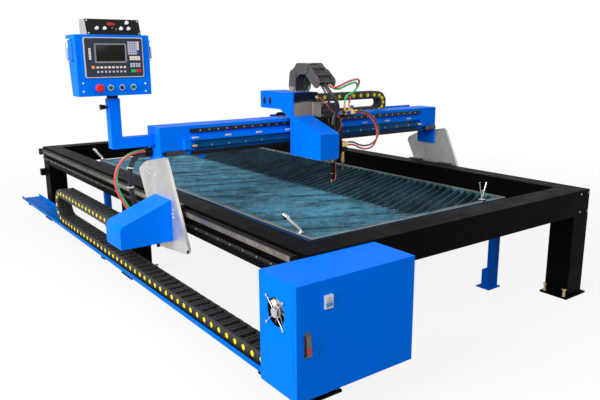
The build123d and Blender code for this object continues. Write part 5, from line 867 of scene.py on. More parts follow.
def hang(lines, body, node, sizes):
    """Lines fixed at both ends to one body."""
    for index, (name, (finish, radius, length, points)) in enumerate(lines.items()):
        radius = getattr(sizes, radius)
        thing = route(name, points)
        thing.data.bevel_depth = radius
        thing.data.bevel_resolution = sizes.hose_sides
        settle(thing, body, finish, [] if index else [node])


def line_of(points):
    """Points along the smooth line of a route."""
    guide = route("guide", points)
    path = [v.co.copy() for v in plain(guide).vertices]
    bpy.data.objects.remove(guide)
    return path


def joined(name, lines, radius, sides, fineness=6):
    """Round lines along control points, as one mesh."""
    whole = bmesh.new()
    for spots in lines:
        guide = route(name, spots)
        guide.data.bevel_depth = radius
        guide.data.bevel_resolution = sides
        guide.data.resolution_u = fineness
        whole.from_mesh(plain(guide))
        bpy.data.objects.remove(guide)
    mesh = bpy.data.meshes.new(name)
    whole.to_mesh(mesh)
    whole.free()
    mesh.shade_smooth()
    return mesh


def stranded(name, path, radius, sides):
    """Six cables that wind slowly round a seventh along a line, as one mesh."""
    thin = radius / 3
    across = Vector(BACK)
    strands = []
    for k in range(7):
        reach = 2 * thin if k else 0.0
        spots = []
        for n, spot in enumerate(path):
            ahead = path[min(n + 1, len(path) - 1)] - path[max(n - 1, 0)]
            turn = math.pi * (k / 3 + n / len(path))
            aside = ahead.cross(across).normalized() * math.cos(turn) + across * math.sin(turn)
            spots.append((spot + reach * aside) / MM)
        strands.append(spots)
    return joined(name, strands, thin, sides - 2, 1)


class CUTTER_OT_side_lines(bpy.types.Operator):
    """Hoses and cable bundle that hang from the gantry's end to the drag chain."""
    bl_idname = "cutter.side_lines"
    bl_label = "Hang side lines"

    def execute(self, context):
        sizes = context.scene.cutter_sizes
        lines = dict(SIDE_LINES)
        finish, radius, length, points = lines.pop("side_cable_bundle")
        hang(lines, "gantry", "side_hoses", sizes)
        radius = getattr(sizes, radius)
        path = line_of(points)
        bundle = show("side_cable_bundle", stranded("side_cable_bundle", path, radius, sizes.hose_sides))
        settle(bundle, "gantry", finish)
        r = radius / MM
        loop = [(r, 0), (r + 1.6, 0.7), (r + 1.6, 6.3), (r, 7)]
        ties = []
        for height in TIE_HEIGHTS:
            n = min(range(len(path)), key=lambda k: abs(path[k].z / MM - height))
            way = (path[n + 1] - path[n - 1]).normalized()
            x, y, z = path[n] / MM
            ties.append(turned(path[n] / MM - 3.5 * way, way, loop, 24))
            ties.append(box(x - r - 9, x - r + 1, y - 4, y + 4, z - 4, z + 4, 1.0))
        made = piece("bundle_ties", "gantry", "white_abs", *ties)
        return {"FINISHED"}


class CUTTER_OT_gas_lines(bpy.types.Operator):
    """Red and green hoses from the arch to the valves with their nuts, and the lift motor's cable."""
    bl_idname = "cutter.gas_lines"
    bl_label = "Hang gas hoses"

    def execute(self, context):
        sizes = context.scene.cutter_sizes
        hang(GAS_LINES, "carriage", "gas_hoses", sizes)
        nuts = []
        for x in (126, 164):
            nuts.append(turned((x, -835, 1128), UP, [(7, 0), (8.4, 1), (8.4, 9), (7, 10)], 6))
            nuts.append(turned((x, -835, 1139), UP, [(6.6, 0), (7.7, 1), (7.7, 17), (6.6, 18)], 18))
        piece("hose_nuts", "carriage", "machined_brass", *nuts)
        return {"FINISHED"}


class CUTTER_OT_torch_lines(bpy.types.Operator):
    """Lead, wire and hoses that run down to the torches."""
    bl_idname = "cutter.torch_lines"
    bl_label = "Hang torch lines"

    def execute(self, context):
        sizes = context.scene.cutter_sizes
        for index, (name, (finish, radius, length, points)) in enumerate(TORCH_LINES.items()):
            radius = getattr(sizes, radius)
            path = [tuple(p) for p in line_of(points)]
            mesh = joined(name, [points], radius, sizes.hose_sides)
            mesh.materials.append(bpy.data.materials[finish])
            mesh.set_sharp_from_angle(angle=CUT_ANGLE)
            thing = show(name, mesh)
            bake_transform(thing)
            if index == 0:
                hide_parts("torch_lines")
        return {"FINISHED"}


# Drag chains

# Each chain lies along axis 0 or 1. Its lower run goes from its start on one body to its bend, and its upper
# run from there back to its end on another. Lengths are in millimetres, the last three those of a link.
CHAINS = {
    "travel": {"axis": 1, "across": -1170.0, "low": 208.5, "high": 424.5,
               "start": -2014.4, "bend": 990.0, "end": -600.0, "lower_links": 41, "upper_links": 21,
               "bodies": ("table", "gantry"), "height": 65.0, "width": 110.0, "plate": 10.0},
    "cross": {"axis": 0, "across": -517.5, "low": 1063.5, "high": 1175.5,
              "start": -150.0, "bend": 680.0, "end": -247.7, "lower_links": 13, "upper_links": 14,
              "bodies": ("gantry", "carriage"), "height": 56.0, "width": 76.0, "plate": 7.0},
}

# Links in the half turn of a bend, those that go with its lower half, and the degrees that each turns
BEND_LINKS = 5
LOW_BEND_LINKS = 2
LINK_TURN = 180 / BEND_LINKS


def link_shapes(step, height, width, plate):
    """Shapes of one link along X: each cheek is an outer half and an inner half round the two pivots, with
    slotted bars above and below."""
    reach = height / 2
    shapes = []
    for side in (-1, 1):
        for pivot, inner in ((-1, 0.0), (1, plate * 0.5)):
            y0 = side * (width / 2 - inner)
            y1 = y0 - side * plate * 0.5
            flat = pivot * -0.22 * step
            outline = [(flat, -reach + 1.5), (flat, reach - 1.5)]
            for k in range(9):
                angle = math.radians(90 - 22.5 * k)
                out, rise = 0.98 * reach * math.cos(angle), 0.98 * reach * math.sin(angle)
                outline.append((pivot * (step / 2 + out), rise))
            shapes.append(prism(outline, 1, min(y0, y1), max(y0, y1), 0.8))
    inside = width / 2 - plate * 0.8
    for z in (reach - 6.0, 0.5 - reach):
        shapes.append(box(-0.30 * step, -0.04 * step, -inside, inside, z, z + 5.5, 1.2))
        shapes.append(box(0.06 * step, 0.30 * step, -inside, inside, z, z + 5.5, 1.2))
        for y in (-0.32 * width, 0.0, 0.32 * width):
            shapes.append(box(-0.06 * step, 0.08 * step, y - 4, y + 4, z + 0.5, z + 5.0, 0.6))
    return shapes


def marker_shapes(width, radius):
    """Round yellow inserts in both cheeks of a link."""
    button = [(radius, 0), (radius, 1.3), (radius - 1, 1.9)]
    return [turned((0, side * (width / 2 - 1), 0), (0, side, 0), button, 14) for side in (-1, 1)]


def line_shapes(step, height, width):
    """The four lines that lie inside one link."""
    r = 0.15 * height
    shares = (-0.3, -0.1, 0.1, 0.3)
    return [turned((-step / 2, share * width, 0), RIGHT, [(r, 0), (r, step)], 10) for share in shares]


def pose(heading, up, place):
    """A spot whose shape has its X along the heading and its Z up."""
    side = up.cross(heading)
    return tuple(place), Matrix((heading, side, up)).transposed().to_euler()


def straight(start, heading, up, length, count):
    """Spots of the links of a straight run."""
    step = length / count
    return [pose(heading, up, start + heading * step * (k + 0.5)) for k in range(count)]


def half_turn(start, heading, up, radius, first, last):
    """Spots of some of the links of a half turn, with their pivots on the bend's circle."""
    centre = start + up * radius
    spots = []
    for k in range(first, last):
        angle = math.radians(LINK_TURN * (k + 0.5))
        along = heading * math.cos(angle) + up * math.sin(angle)
        inward = up * math.cos(angle) - heading * math.sin(angle)
        spots.append(pose(along, inward, centre - inward * radius * math.cos(math.radians(LINK_TURN / 2))))
    return spots


def stretches(name, chain):
    """The two runs of a chain and the two halves of its bend: tag, spots, length of a link, bodies, the ends
    of a run, and the node that is replaced."""
    low, high, bend = chain["low"], chain["high"], chain["bend"]
    radius = (high - low) / 2
    heading = Vector(BACK if chain["axis"] else RIGHT)
    up = Vector(UP)

    def place(along, level):
        """A place on the chain's middle line."""
        spot = [chain["across"], chain["across"], level]
        spot[chain["axis"]] = along
        return spot

    def span(along, level):
        """The ends of a run in metres, the one at the bend last."""
        return [[c * MM for c in place(s, level)] for s in (along, bend)]

    first, last = bend - chain["start"], bend - chain["end"]
    lower = straight(Vector(place(chain["start"], low)), heading, up, first, chain["lower_links"])
    upper = straight(Vector(place(bend, high)), -heading, -up, last, chain["upper_links"])
    foot = Vector(place(bend, low))
    under = half_turn(foot, heading, up, radius, 0, LOW_BEND_LINKS)
    over = half_turn(foot, heading, up, radius, LOW_BEND_LINKS, BEND_LINKS)
    chord = 2 * radius * math.sin(math.radians(LINK_TURN / 2))
    low_body, high_body = f"{name}_bend_low", f"{name}_bend_high"
    fixed, moving = chain["bodies"]
    return [
        ("lower", lower, first / chain["lower_links"], (fixed, low_body), span(chain["start"], low),
         f"{name}_chain_lower"),
        ("upper", upper, last / chain["upper_links"], (moving, high_body), span(chain["end"], high),
         f"{name}_chain_upper"),
        ("bend_low", under, chord, (low_body,), None, f"{name}_bend_lower"),
        ("bend_high", over, chord, (high_body,), None, f"{name}_bend_upper"),
    ]


def lay_chain(name, marker):
    """Links, markers and lines of a chain: its bends ride on one body each, and its runs stay where they are
    laid.
    """
    chain = CHAINS[name]
    height, width, plate = chain["height"], chain["width"], chain["plate"]
    for tag, spots, step, bodies, span, node in stretches(name, chain):
        # Lines inside the links are nearly black: painted shade inside the chain
        for part, finish, shapes in (("links", "chain_nylon", link_shapes(step, height, width, plate)),
                                     ("markers", "marker_nylon", marker_shapes(width, marker)),
                                     ("lines", "sooty_line_rubber", line_shapes(step, height, width))):
            model = show("model", mesh_of("model", shapes))
            thing = copies(f"{name}_{tag}_{part}", finish, TREES["copies"], spots, shape=model)
            bpy.data.objects.remove(model)
            if span:
                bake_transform(thing)
                if part == "links":
                    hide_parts(node)
            else:
                settle(thing, bodies[0], finish, [node] if part == "links" else [])


class CUTTER_OT_travel_chain(bpy.types.Operator):
    """Drag chain beside the table, from the tray round its bend to the gantry."""
    bl_idname = "cutter.travel_chain"
    bl_label = "Lay travel chain"

    def execute(self, context):
        lay_chain("travel", context.scene.cutter_sizes.marker_radius / MM)
        return {"FINISHED"}


class CUTTER_OT_cross_chain(bpy.types.Operator):
    """Drag chain behind the gantry, from its tray round the bend to the carriage arm."""
    bl_idname = "cutter.cross_chain"
    bl_label = "Lay cross chain"

    def execute(self, context):
        lay_chain("cross", context.scene.cutter_sizes.marker_radius / MM)
        return {"FINISHED"}


# The arch over the carriage: its first pivot as (y, z), the pitch of its links, their tilts in degrees, and
# the outer faces of its cheeks
ARCH_START = (-664.0, 1269.0)
ARCH_PITCH = 70.0
ARCH_TILTS = (8.0, 55.0, 90.0, 122.0, 128.0)
ARCH_CHEEKS = (-171, -44)

# The middle of the way through the arch as (y, z), and the lines in it as (x, distance to the outer side)
ARCH_MIDDLE = [(-664, 1241), (-664, 1269), (-674, 1338), (-731, 1378), (-801, 1378), (-861, 1341),
               (-916, 1298), (-919, 1295.7)]
ARCH_LINES = [
    ("arch_cables", "black_hose_rubber",
     [(-149 + 13.5 * k, 14) for k in range(7)] + [(x, -14) for x in (-149, -135, -121, -107, -93, -65)]),
    ("arch_hose_red", "red_hose_rubber", [(-92, 0)]),
    ("arch_hose_green", "green_hose_rubber", [(-76, 0)]),
]


class CUTTER_OT_arch_details(bpy.types.Operator):
    """Pivot rims and bosses on the cheeks of the arch over the carriage, and the lines inside it."""
    bl_idname = "cutter.arch_details"
    bl_label = "Add arch details"

    def execute(self, context):
        boss = [(9, -1), (9, 1.2), (8, 2), (5, 2), (4.4, 1.0)]
        stud = [(4, -1), (4, 1.0), (3.2, 1.6)]
        left, right = ARCH_CHEEKS
        y, z = ARCH_START
        shapes = []
        for k, tilt in enumerate(ARCH_TILTS):
            inset = 6.6 * (k % 2)
            way = Vector((0, -math.sin(math.radians(tilt)), math.cos(math.radians(tilt))))
            for x, axis in ((left + inset, LEFT), (right - inset, RIGHT)):
                for along in (0.0, ARCH_PITCH):
                    spot = Vector((x, y, z)) + way * along
                    shapes.append(hoop(spot, RIGHT, 26, 1.4, 32, 6))
                    shapes.append(turned(spot, axis, boss, 20))
                middle = Vector((x, y, z)) + way * ARCH_PITCH / 2
                shapes.append(turned(middle, axis, stud, 14))
            y += ARCH_PITCH * way.y
            z += ARCH_PITCH * way.z
        piece("arch_bosses", "carriage", "grey_nylon", *shapes)
        for name, finish, places in ARCH_LINES:
            lines = [self.line(x, outward) for x, outward in places]
            mesh = joined(name, lines, context.scene.cutter_sizes.hose_radius, 2)
            settle(show(name, mesh), "carriage", finish)
        return {"FINISHED"}

    def line(self, x, outward):
        """A line through the arch, so far to the outer side of its middle."""
        spots = []
        for k, (y, z) in enumerate(ARCH_MIDDLE):
            after = ARCH_MIDDLE[min(k + 1, len(ARCH_MIDDLE) - 1)]
            before = ARCH_MIDDLE[max(k - 1, 0)]
            ahead = (Vector(after) - Vector(before)).normalized()
            reach = outward if after != (y, z) else outward * 0.5
            spots.append((x, y + reach * ahead.y, z - reach * ahead.x))
        return spots


# Fasteners

# Places of the bolts in a side plate as (y, z)
PLATE_BOLTS = ((-611, 862), (-695, 872), (-604, 804), (-691, 808), (-893, 644), (-884, 622), (-893, 603),
               (-535, 657), (-535, 613), (-595, 613))

# Places of the bolts in the pendant's front as (x, z)
PANEL_BOLTS = ((-1493, 1324), (-1494, 1282), (-1160, 1315), (-1161, 1275))


class CUTTER_OT_bolts(bpy.types.Operator):
    """Bolt heads on rails, racks, plates, covers and panels."""
    bl_idname = "cutter.bolts"
    bl_label = "Set bolts"

    def execute(self, context):
        sizes = context.scene.cutter_sizes
        head = sizes.bolt_head / MM
        cross_pitch = sizes.cross_bolt_pitch / MM
        front, below = facing(FRONT), facing(DOWN)
        rails, racks, plates = [], [], []
        for side, way in ((-1, facing(LEFT)), (1, facing(RIGHT))):
            rails += [((side * 1093, y, 635), way) for y in row(-1920, 1920, sizes.rail_bolt_pitch / MM)]
            racks += [((side * 1085, y, 571), way) for y in row(-1900, 1900, sizes.rack_bolt_pitch / MM)]
            plates += [((side * 1131, y, z), way) for y, z in PLATE_BOLTS]
        cross = [((x, -750, 1047), front) for x in row(-874, 874, cross_pitch)]
        cross += [((x, -750, 960), front) for x in row(-804, 804, 2 * cross_pitch)]
        corner = [((x, -2015, z), front) for x in (968, 1050) for z in (535, 645)]
        bolts("rail_bolts", "table", "zinc_plate", rails, radius=5.5, height=0.3, depth=0.25)
        bolts("rack_bolts", "table", "zinc_plate", racks, radius=4.6, height=3.5, depth=1.5)
        bolts("corner_bolts", "table", "zinc_plate", corner, radius=head, height=5, depth=2.5)
        bolts("plate_bolts", "gantry", "bright_chrome", plates, radius=head, height=5, depth=2.5)
        bolts("cross_rail_bolts", "gantry", "zinc_plate", cross, radius=5, height=0.3, depth=0.25)
        motor = [((x, -793, z), front) for x in (-238, -112) for z in (1093, 1159)]
        gearbox = [((x, -870, z), front) for x in (-85, 20) for z in (1093, 1155)]
        plate = [((x, -802, z), front) for x in (95, 112) for z in (866, 940, 1010, 1068)]
        cowl = [((x, -1060, 848), below) for x in row(-240, -120, 24)]
        cowl += [((-240, y, 848), below) for y in row(-1030, -790, 40)]
        bolts("carriage_bolts", "carriage", "zinc_plate", motor + gearbox + plate, radius=4.5, height=3.5,
              depth=2)
        bolts("cowl_screws", "carriage", "yellow_zinc", cowl, radius=5, height=6, depth=2)
        slide = [((x, -875, z), front) for x in (-85, 65) for z in (860, 1020)]
        bolts("slide_bolts", "lifter", "zinc_plate", slide, radius=4.5, height=3.5, depth=2)
        panel = [((x, -690, z), front) for x, z in PANEL_BOLTS]
        bolts("pendant_bolts", "pendant", "bright_chrome", panel, radius=5.2, height=2, depth=1)
        # Navy heads on the gantry's arm: painted shade of the holes there
        arm = [((-1113, -654, 970), facing(LEFT)), ((-1097, -730, 928), front)]
        bolts("arm_bolts", "gantry", "navy_powder_coat", arm, radius=8, height=3, depth=1.5)
        return {"FINISHED"}


# Operator pendant

# From places on the height unit's leaning front, about the middle of its lower edge, to the part's frame
LEAN = Matrix(((1, 0, 0, -1298), (0, 0.3473, -0.9377, -655), (0, 0.9377, 0.3473, 1567), (0, 0, 0, 1)))

# The front of the operator unit, and the right edge of its pad's lilac keys
PANEL_FRONT = -697.0
PAD_EDGE = -1195


def rounded(u0, u1, v0, v1, radius, steps=4):
    """Outline of a rectangle with round corners."""
    outline = []
    for u, v, first in ((u1 - radius, v1 - radius, 0), (u0 + radius, v1 - radius, 90),
                        (u0 + radius, v0 + radius, 180), (u1 - radius, v0 + radius, 270)):
        for k in range(steps + 1):
            angle = math.radians(first + 90 * k / steps)
            outline.append((u + radius * math.cos(angle), v + radius * math.sin(angle)))
    return outline


def window(outer, inner, axis, start, end):
    """A plate between two outlines of as many points, such as a frame or a panel with an opening."""
    shape = bmesh.new()
    rings = [corners(shape, outline, axis, level)
             for outline, level in ((outer, start), (outer, end), (inner, end), (inner, start))]
    for low, high in zip(rings, rings[1:] + rings[:1]):
        band(shape, low, high)
    bmesh.ops.recalc_face_normals(shape, faces=shape.faces[:])
    return shape


def leaning(shape):
    """A shape drawn on the height unit's front, moved to its place there."""
    shape.transform(LEAN)
    return shape


class CUTTER_OT_pendant_front(bpy.types.Operator):
    """Panel, screen, keys, display and small fittings of the pendant."""
    bl_idname = "cutter.pendant_front"
    bl_label = "Add pendant front"

    def execute(self, context):
        y = PANEL_FRONT
        opening = rounded(-1419.5, -1264.5, 1432.5, 1516.5, 2.5)
        piece("panel_membrane", "pendant", "slate_membrane",
              window(rounded(-1474.5, -1171.5, 1355.5, 1549.5, 7), opening, 1, y - 0.8, y + 0.5))
        piece("screen_frame", "pendant", "grey_abs",
              window(rounded(-1426, -1258, 1426, 1523, 5), opening, 1, y - 2.0, y + 0.5))
        piece("screen", "pendant", "screen_acrylic", box(-1419, -1265, y + 1.2, y + 1.9, 1433, 1516, 0.2))
        pad = self.grid(-1219, 1500.5, 5, 6, 12.5, 11.3)
        lilac = [p for p in pad if p[0] < PAD_EDGE]
        lilac += self.grid(-1213.5, 1413, 4, 2, 14.6, 11.4) + self.grid(-1343, 1381, 8, 1, 20.4, 1)
        white = [p for p in pad if p[0] > PAD_EDGE and p[1] > 1485]
        white += self.grid(-1450.5, 1470.5, 1, 5, 1, 11.8)
        cream = self.grid(-1213.5, 1448.5, 4, 2, 14.6, 11) + self.grid(-1343, 1403, 8, 1, 20.4, 1)
        self.keys("lilac_keys", "lilac_key", lilac, 11.4, 10)
        self.keys("white_keys", "white_abs", white, 11.8, 10.2)
        self.keys("blue_keys", "blue_key", [(-1194, 1477)], 15, 14)
        self.keys("cream_keys", "cream_key", cream, 13.6, 10.4)
        self.keys("green_key", "green_key", [(-1225, 1383)], 27, 15)
        self.keys("red_key", "red_abs", [(-1196, 1383)], 26, 15)
        self.keys("orange_key", "orange_key", [(-1438, 1404)], 19, 19, 9)
        piece("height_display", "pendant", "red_segments", *[
            leaning(shape) for k in range(4) for shape in self.digit(-25 + 10 * k, 60)])
        piece("height_window", "pendant", "screen_acrylic", leaning(box(-34, 14, 47, 73, 0.1, 1.2, 0.5)))
        piece("height_switches", "pendant", "satin_chrome", *[
            leaning(turned((x, v, 0), UP, [(4, 0), (4, 1.5), (1.8, 1.8), (2.4, 9), (1.6, 10)], 14))
            for x, v in ((-7, 38), (12, 31))])
        piece("handle_grips", "pendant", "bright_chrome", *[
            box(x - 4.8, x + 4.8, -651, -629, 1446, 1532, 4.0) for x in (-1546, -1100)])
        turn = LEAN.to_euler()
        screws = [(tuple(LEAN @ Vector((x, v, 0))), turn) for x in (-135, 135) for v in (9, 77)]
        bolts("height_screws", "pendant", "bright_chrome", screws, radius=4.4, height=2, depth=1)
        low, high = extent("mode_selector")
        x, z = (low.x + high.x) / 2, (low.z + high.z) / 2
        piece("selector_mark", "mode", "white_abs",
              box(x - 1, x + 1, low.y - 0.4, low.y + 2, z, high.z - 1, 0.2))
        return {"FINISHED"}

    def grid(self, x, z, columns, rows, wide, tall):
        """Key places about a middle, from the lower right to the upper left."""
        return [(x + wide * ((columns - 1) / 2 - c), z + tall * (r - (rows - 1) / 2))
                for r in range(rows) for c in range(columns)]

    def keys(self, name, finish, places, width, height, corner=2):
        """Keys of one colour and size on the panel."""
        spots = [((x, PANEL_FRONT - 0.6, z), facing(FRONT)) for x, z in places]
        thing = copies(name, finish, TREES["keys"], spots, width=width * MM, height=height * MM,
                       corner=corner * MM, rise=1.4 * MM)
        settle(thing, "pendant", finish)

    def digit(self, u, v):
        """Seven lit bars of one digit about a middle on the height unit's front."""
        bars = [box(u - 2.6, u + 2.6, v + h - 0.8, v + h + 0.8, 1.0, 1.5, 0.2) for h in (-7, 0, 7)]
        bars += [box(u + s * 3.2 - 0.8, u + s * 3.2 + 0.8, v + h - 2.8, v + h + 2.8, 1.0, 1.5, 0.2)
                 for s in (-1, 1) for h in (-3.5, 3.5)]
        return bars


# Cabinet

class CUTTER_OT_cabinet_fittings(bpy.types.Operator):
    """Fan hub, latch button and breaker details."""
    bl_idname = "cutter.cabinet_fittings"
    bl_label = "Add cabinet fittings"

    def execute(self, context):
        low, high = extent("door_latch")
        x = (low.x + high.x) / 2
        piece("latch_button", "latch", "red_abs",
              box(x - 8.5, x + 8.5, low.y, low.y + 4, low.z + 13, low.z + 35, 0.8))
        piece("breaker_plate", "door", "cream_abs", box(-1163, -1143, -2270.6, -2269.5, 576, 590, 0.4))
        low, high = extent("fan_rotor")
        y, z = (low.y + high.y) / 2, (low.z + high.z) / 2
        piece("fan_cap", "fan", "milled_aluminium",
              turned((low.x, y, z), LEFT, [(25, -0.5), (25, 0.6), (23, 1.2), (12, 1.2), (11, 0.8)], 32))
        return {"FINISHED"}


# Carriage and torches

# The way that the lines leave the arch, and the middle of the plasma torch as (x, y)
COMB_AXIS = (0, -0.788, -0.616)
TORCH_MIDDLE = (-62, -945)


class CUTTER_OT_carriage_fittings(bpy.types.Operator):
    """Motor flange, wire clip, ferrules and comb glands of the carriage."""
    bl_idname = "cutter.carriage_fittings"
    bl_label = "Add carriage fittings"

    def execute(self, context):
        piece("motor_flange", "carriage", "milled_aluminium",
              box(-104, -95.2, -794.5, -705.5, 1081.5, 1170.5, 1.5))
        piece("wire_clip", "carriage", "white_abs", box(-80, -64, -798, -793, 1194, 1210, 1.2),
              turned((-72, -798, 1202), FRONT, [(4.2, -1), (4.2, 4), (3.2, 5)], 16))
        sleeve = [(7, 0), (7, 6), (6.7, 7), (6.7, 20), (6.1, 21)]
        piece("hose_ferrules", "carriage", "machined_brass", *[
            turned((206, y, z), RIGHT, sleeve, 18) for y, z in ((-840, 1103), (-830, 1091))])
        piece("comb_glands", "carriage", "black_abs", *[
            turned((x, -926.2, 1290.1), COMB_AXIS, [(r, -1), (r + 1.6, 0), (r + 1.6, 9), (r - 0.4, 10)], 20)
            for x, r in ((-92, 6.3), (-76, 6.3), (-120, 13), (-148, 6.8))])
        return {"FINISHED"}


class CUTTER_OT_torch_fittings(bpy.types.Operator):
    """Collars, nozzle parts and nuts of the two torches."""
    bl_idname = "cutter.torch_fittings"
    bl_label = "Add torch fittings"

    def execute(self, context):
        sizes = context.scene.cutter_sizes
        x, y = TORCH_MIDDLE
        piece("torch_collar", "lifter", "bright_chrome",
              turned((x, y, 803), UP, [(17, 0), (19, 1), (19, 20), (17, 21)], 32))
        boot = [(17, 0), (17, 6), (15.5, 8), (15.5, 12), (14.2, 13), (14.2, 22), (12.3, 24)]
        piece("lead_boot", "lifter", "black_abs", turned((x, y, 1015), UP, boot, 28))
        nuts = []
        for z in (921, 904):
            nuts.append(turned((38, y, z), RIGHT, [(7.2, 0), (8, 1), (8, 9), (7.2, 10)], 6))
            nuts.append(turned((46, y, z), RIGHT, [(6.8, 0), (6.8, 14), (6.1, 15)], 16))
        nuts.append(turned((20, y, 806), UP, [(10.4, 0), (11.6, 1.2), (11.6, 12), (10.4, 13.2)], 6))
        piece("cutter_nuts", "lifter", "machined_brass", *nuts)
        spots = [(-44, -949, 830), (-43, -950, 800), (-43, -952, 770), (-44, -956, 740), (-47, -960, 715),
                 (-52, -959, 696), (-56, -957, 688)]
        mesh = joined("nozzle_wire", [spots], sizes.wire_radius, sizes.hose_sides)
        settle(show("nozzle_wire", mesh), "lifter", "red_hose_rubber")
        return {"FINISHED"}


# Gantry and table

# Feet of the two clamps at the left of the bed as (x, y)
CLAMP_FEET = ((-740, -1535), (-740, 1355))


class CUTTER_OT_gantry_fittings(bpy.types.Operator):
    """Corner plugs, clips, an oiled rail strip that also gives painted shade under the ledge, black patches
    of painted shade in the cover's slots, and the levers of the bed's clamps.
    """
    bl_idname = "cutter.gantry_fittings"
    bl_label = "Add gantry fittings"

    def execute(self, context):
        plug = [(9, -2), (9, 2.4), (7.6, 3.4), (4.6, 3.4), (4, 1.6)]
        piece("corner_plugs", "gantry", "black_abs", *[
            turned((x, -1050, 448), axis, plug, 20) for x, axis in ((-1131, LEFT), (1131, RIGHT))])
        piece("lever_bars", "table", "zinc_plate", *[
            bar((x - 3, y + 7, 607), (x - 35, y + 85, 668), 24, 9) for x, y in CLAMP_FEET])
        piece("lever_grips", "table", "bright_chrome", *[
            bar((x - 30, y + 72, 658), (x - 41, y + 99, 679), 27, 13) for x, y in CLAMP_FEET])
        piece("ledge_clips", "gantry", "cream_abs", *[
            box(x - 21, x + 21, -757, -754, 1003, 1013, 0.8) for x in row(-909, 803, 214)])
        # A thin plate of oiled blue below the ledge, darker also as painted shade
        piece("rail_strip", "gantry", "oiled_blue_paint", box(-900, 900, -731.2, -729.8, 934, 988, 0.3))
        # Black patches on the cover for its slots: painted shade in the openings
        piece("cover_slots", "gantry", "black_abs", *[
            box(x - 6, x + 6, -752, -748, z - 1, z + 0.8, 0.3)
            for x, z in ((-1181.2, 677.9), (-1166.7, 683.4))])
        piece("cover_tab", "gantry", "black_abs", box(-1226, -1206, -871.5, -866, 447, 469, 1.5),
              turned((-1216, -871, 454), FRONT, [(5, 0), (5, 2), (3.5, 3)], 16))
        return {"FINISHED"}


# Stage

# Place in metres, turns in degrees, and lens and sensor in millimetres
CAMERA_PLACE = (-2.508, -3.944, 1.452)
CAMERA_YAW, CAMERA_PITCH, CAMERA_ROLL = 36.15, 12.98, -0.365
CAMERA_LENS = 37.37
CAMERA_SENSOR = 36.0

# What the lamps look at: the middle of the machine, and the operator's end of the gantry
MACHINE_MIDDLE = (0, -0.2, 0.6)
GANTRY_END = (-1.25, -0.8, 1.0)

# Half the floor's width in millimetres, its drop below the feet and the distances between which it fades to
# white in metres, and the share of white under the machine
FLOOR_REACH = 60000
FLOOR_DROP = 0.0005
FADE_START, FADE_END = 2.5, 6.0
NEAR_WHITE = 0.85
WHITE = (1.0, 1.0, 1.0, 1.0)


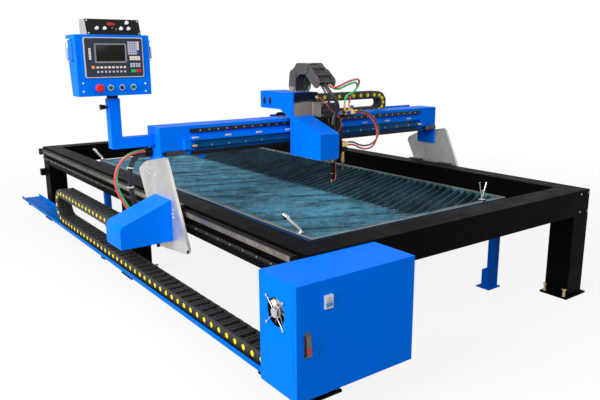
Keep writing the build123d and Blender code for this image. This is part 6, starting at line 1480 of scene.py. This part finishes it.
class CUTTER_OT_stage(bpy.types.Operator):
    """Camera, lights, pale floor and white surround."""
    bl_idname = "cutter.stage"
    bl_label = "Set stage"

    def execute(self, context):
        scene = context.scene
        scene.view_settings.view_transform = "Standard"
        camera = bpy.data.cameras.new("camera")
        camera.sensor_width = CAMERA_SENSOR
        camera.lens = CAMERA_LENS
        camera.clip_end = 200.0
        eye = show("camera", camera)
        eye.matrix_world = (Matrix.Translation(CAMERA_PLACE)
                            @ Matrix.Rotation(math.radians(-CAMERA_YAW), 4, "Z")
                            @ Matrix.Rotation(math.radians(90 - CAMERA_PITCH), 4, "X")
                            @ Matrix.Rotation(math.radians(CAMERA_ROLL), 4, "Z"))
        scene.camera = eye
        lights = [self.lamp("key_light", "AREA", (-7.6, -1.6, 3.6), MACHINE_MIDDLE, 700.0, size=5.0),
                  self.lamp("top_light", "AREA", (0.5, 0.5, 7.5), MACHINE_MIDDLE, 5.0, size=6.0),
                  self.lamp("front_light", "AREA", (-1.2, -6.0, 4.0), MACHINE_MIDDLE, 95.0, size=3.0),
                  self.lamp("end_light", "SPOT", (-2.2, -4.5, 2.6), GANTRY_END, 120.0, spot_blend=0.8,
                            spot_size=math.radians(31), shadow_soft_size=0.5)]
        self.floor(context.scene.cutter_colours.floor)
        self.surround(scene)
        return {"FINISHED"}

    def lamp(self, name, kind, place, target, power, **settings):
        """A soft lamp of a power in watts that looks at a target."""
        light = bpy.data.lights.new(name, kind)
        light.energy = power
        for setting, value in settings.items():
            setattr(light, setting, value)
        thing = show(name, light)
        way = Vector(target) - Vector(place)
        thing.matrix_world = Matrix.Translation(place) @ way.to_track_quat("-Z", "Y").to_matrix().to_4x4()
        return thing

    def floor(self, colour):
        """A wide pale floor that keeps the shadow and fades to white away from the machine."""
        shape = bmesh.new()
        bmesh.ops.create_grid(shape, x_segments=1, y_segments=1, size=FLOOR_REACH)
        thing = show("floor", mesh_of("floor", [shape]))
        thing.location.z = -FLOOR_DROP
        material = bpy.data.materials.new("pale_floor")
        material.use_nodes = True
        tree = material.node_tree
        tree.nodes.clear()
        seen = self.seen(tree)
        matt = add(tree, "ShaderNodeBsdfDiffuse", {"Color": colour})
        lift = add(tree, "ShaderNodeEmission", {"Color": WHITE, "Strength": seen})
        place = add(tree, "ShaderNodeTexCoord")
        reach = add(tree, "ShaderNodeVectorMath", {0: place.outputs["Object"]}, operation="LENGTH")
        fade = add(tree, "ShaderNodeMapRange", {"Value": reach.outputs["Value"],
                                                "From Min": FADE_START, "From Max": FADE_END,
                                                "To Min": NEAR_WHITE, "To Max": 1.0})
        share = add(tree, "ShaderNodeMixShader", {0: fade.outputs[0], 1: matt.outputs[0],
                                                  2: lift.outputs[0]})
        add(tree, "ShaderNodeOutputMaterial", {0: share.outputs[0]})
        thing.data.materials.append(material)
        return thing

    def seen(self, tree):
        """One for a ray from the camera, or through glass, or off metal."""
        path = add(tree, "ShaderNodeLightPath")
        first = add(tree, "ShaderNodeMath", {0: path.outputs["Is Camera Ray"],
                                             1: path.outputs["Is Glossy Ray"]}, operation="MAXIMUM")
        both = add(tree, "ShaderNodeMath", {0: first.outputs[0], 1: path.outputs["Is Transmission Ray"]},
                   operation="MAXIMUM")
        return both.outputs[0]

    def surround(self, scene):
        """White where it is seen, and a soft grey light from all round."""
        world = bpy.data.worlds.new("surround")
        world.use_nodes = True
        tree = world.node_tree
        tree.nodes.clear()
        soft = add(tree, "ShaderNodeBackground", {"Color": linear("#F2F4F6"), "Strength": 0.42})
        white = add(tree, "ShaderNodeBackground", {"Color": WHITE, "Strength": 1.0})
        mixed = add(tree, "ShaderNodeMixShader", {0: self.seen(tree), 1: soft.outputs[0],
                                                  2: white.outputs[0]})
        add(tree, "ShaderNodeOutputWorld", {0: mixed.outputs[0]})
        scene.world = world


# The steps in the order in which they run
STEPS = (
    CUTTER_OT_finishes, CUTTER_OT_solids, CUTTER_OT_side_lines, CUTTER_OT_gas_lines, CUTTER_OT_torch_lines,
    CUTTER_OT_travel_chain, CUTTER_OT_cross_chain, CUTTER_OT_arch_details, CUTTER_OT_bolts,
    CUTTER_OT_pendant_front, CUTTER_OT_cabinet_fittings, CUTTER_OT_carriage_fittings,
    CUTTER_OT_torch_fittings, CUTTER_OT_gantry_fittings, CUTTER_OT_stage,
)


class CUTTER_PT_panel(bpy.types.Panel):
    """Sizes, colours and steps of the cutting table."""
    bl_idname = "CUTTER_PT_panel"
    bl_label = "Cutting table"
    bl_space_type = "VIEW_3D"
    bl_region_type = "UI"
    bl_category = "Cutting table"

    def draw(self, context):
        for group in (context.scene.cutter_sizes, context.scene.cutter_colours):
            for name in group.__annotations__:
                self.layout.prop(group, name)
        for step in STEPS:
            self.layout.operator(step.bl_idname)


CLASSES = (CutterColours, CutterSizes, *STEPS, CUTTER_PT_panel)


def register():
    """Makes the classes and their settings known to Blender."""
    for kind in CLASSES:
        bpy.utils.register_class(kind)
    bpy.types.Scene.cutter_colours = PointerProperty(type=CutterColours)
    bpy.types.Scene.cutter_sizes = PointerProperty(type=CutterSizes)


def unregister():
    """Takes the settings and the classes away again."""
    del bpy.types.Scene.cutter_sizes
    del bpy.types.Scene.cutter_colours
    for kind in reversed(CLASSES):
        bpy.utils.unregister_class(kind)


def main():
    """Runs every step in order."""
    register()
    for step in STEPS:
        area, name = step.bl_idname.split(".")
        getattr(getattr(bpy.ops, area), name)()


if __name__ == "__main__":
    main()
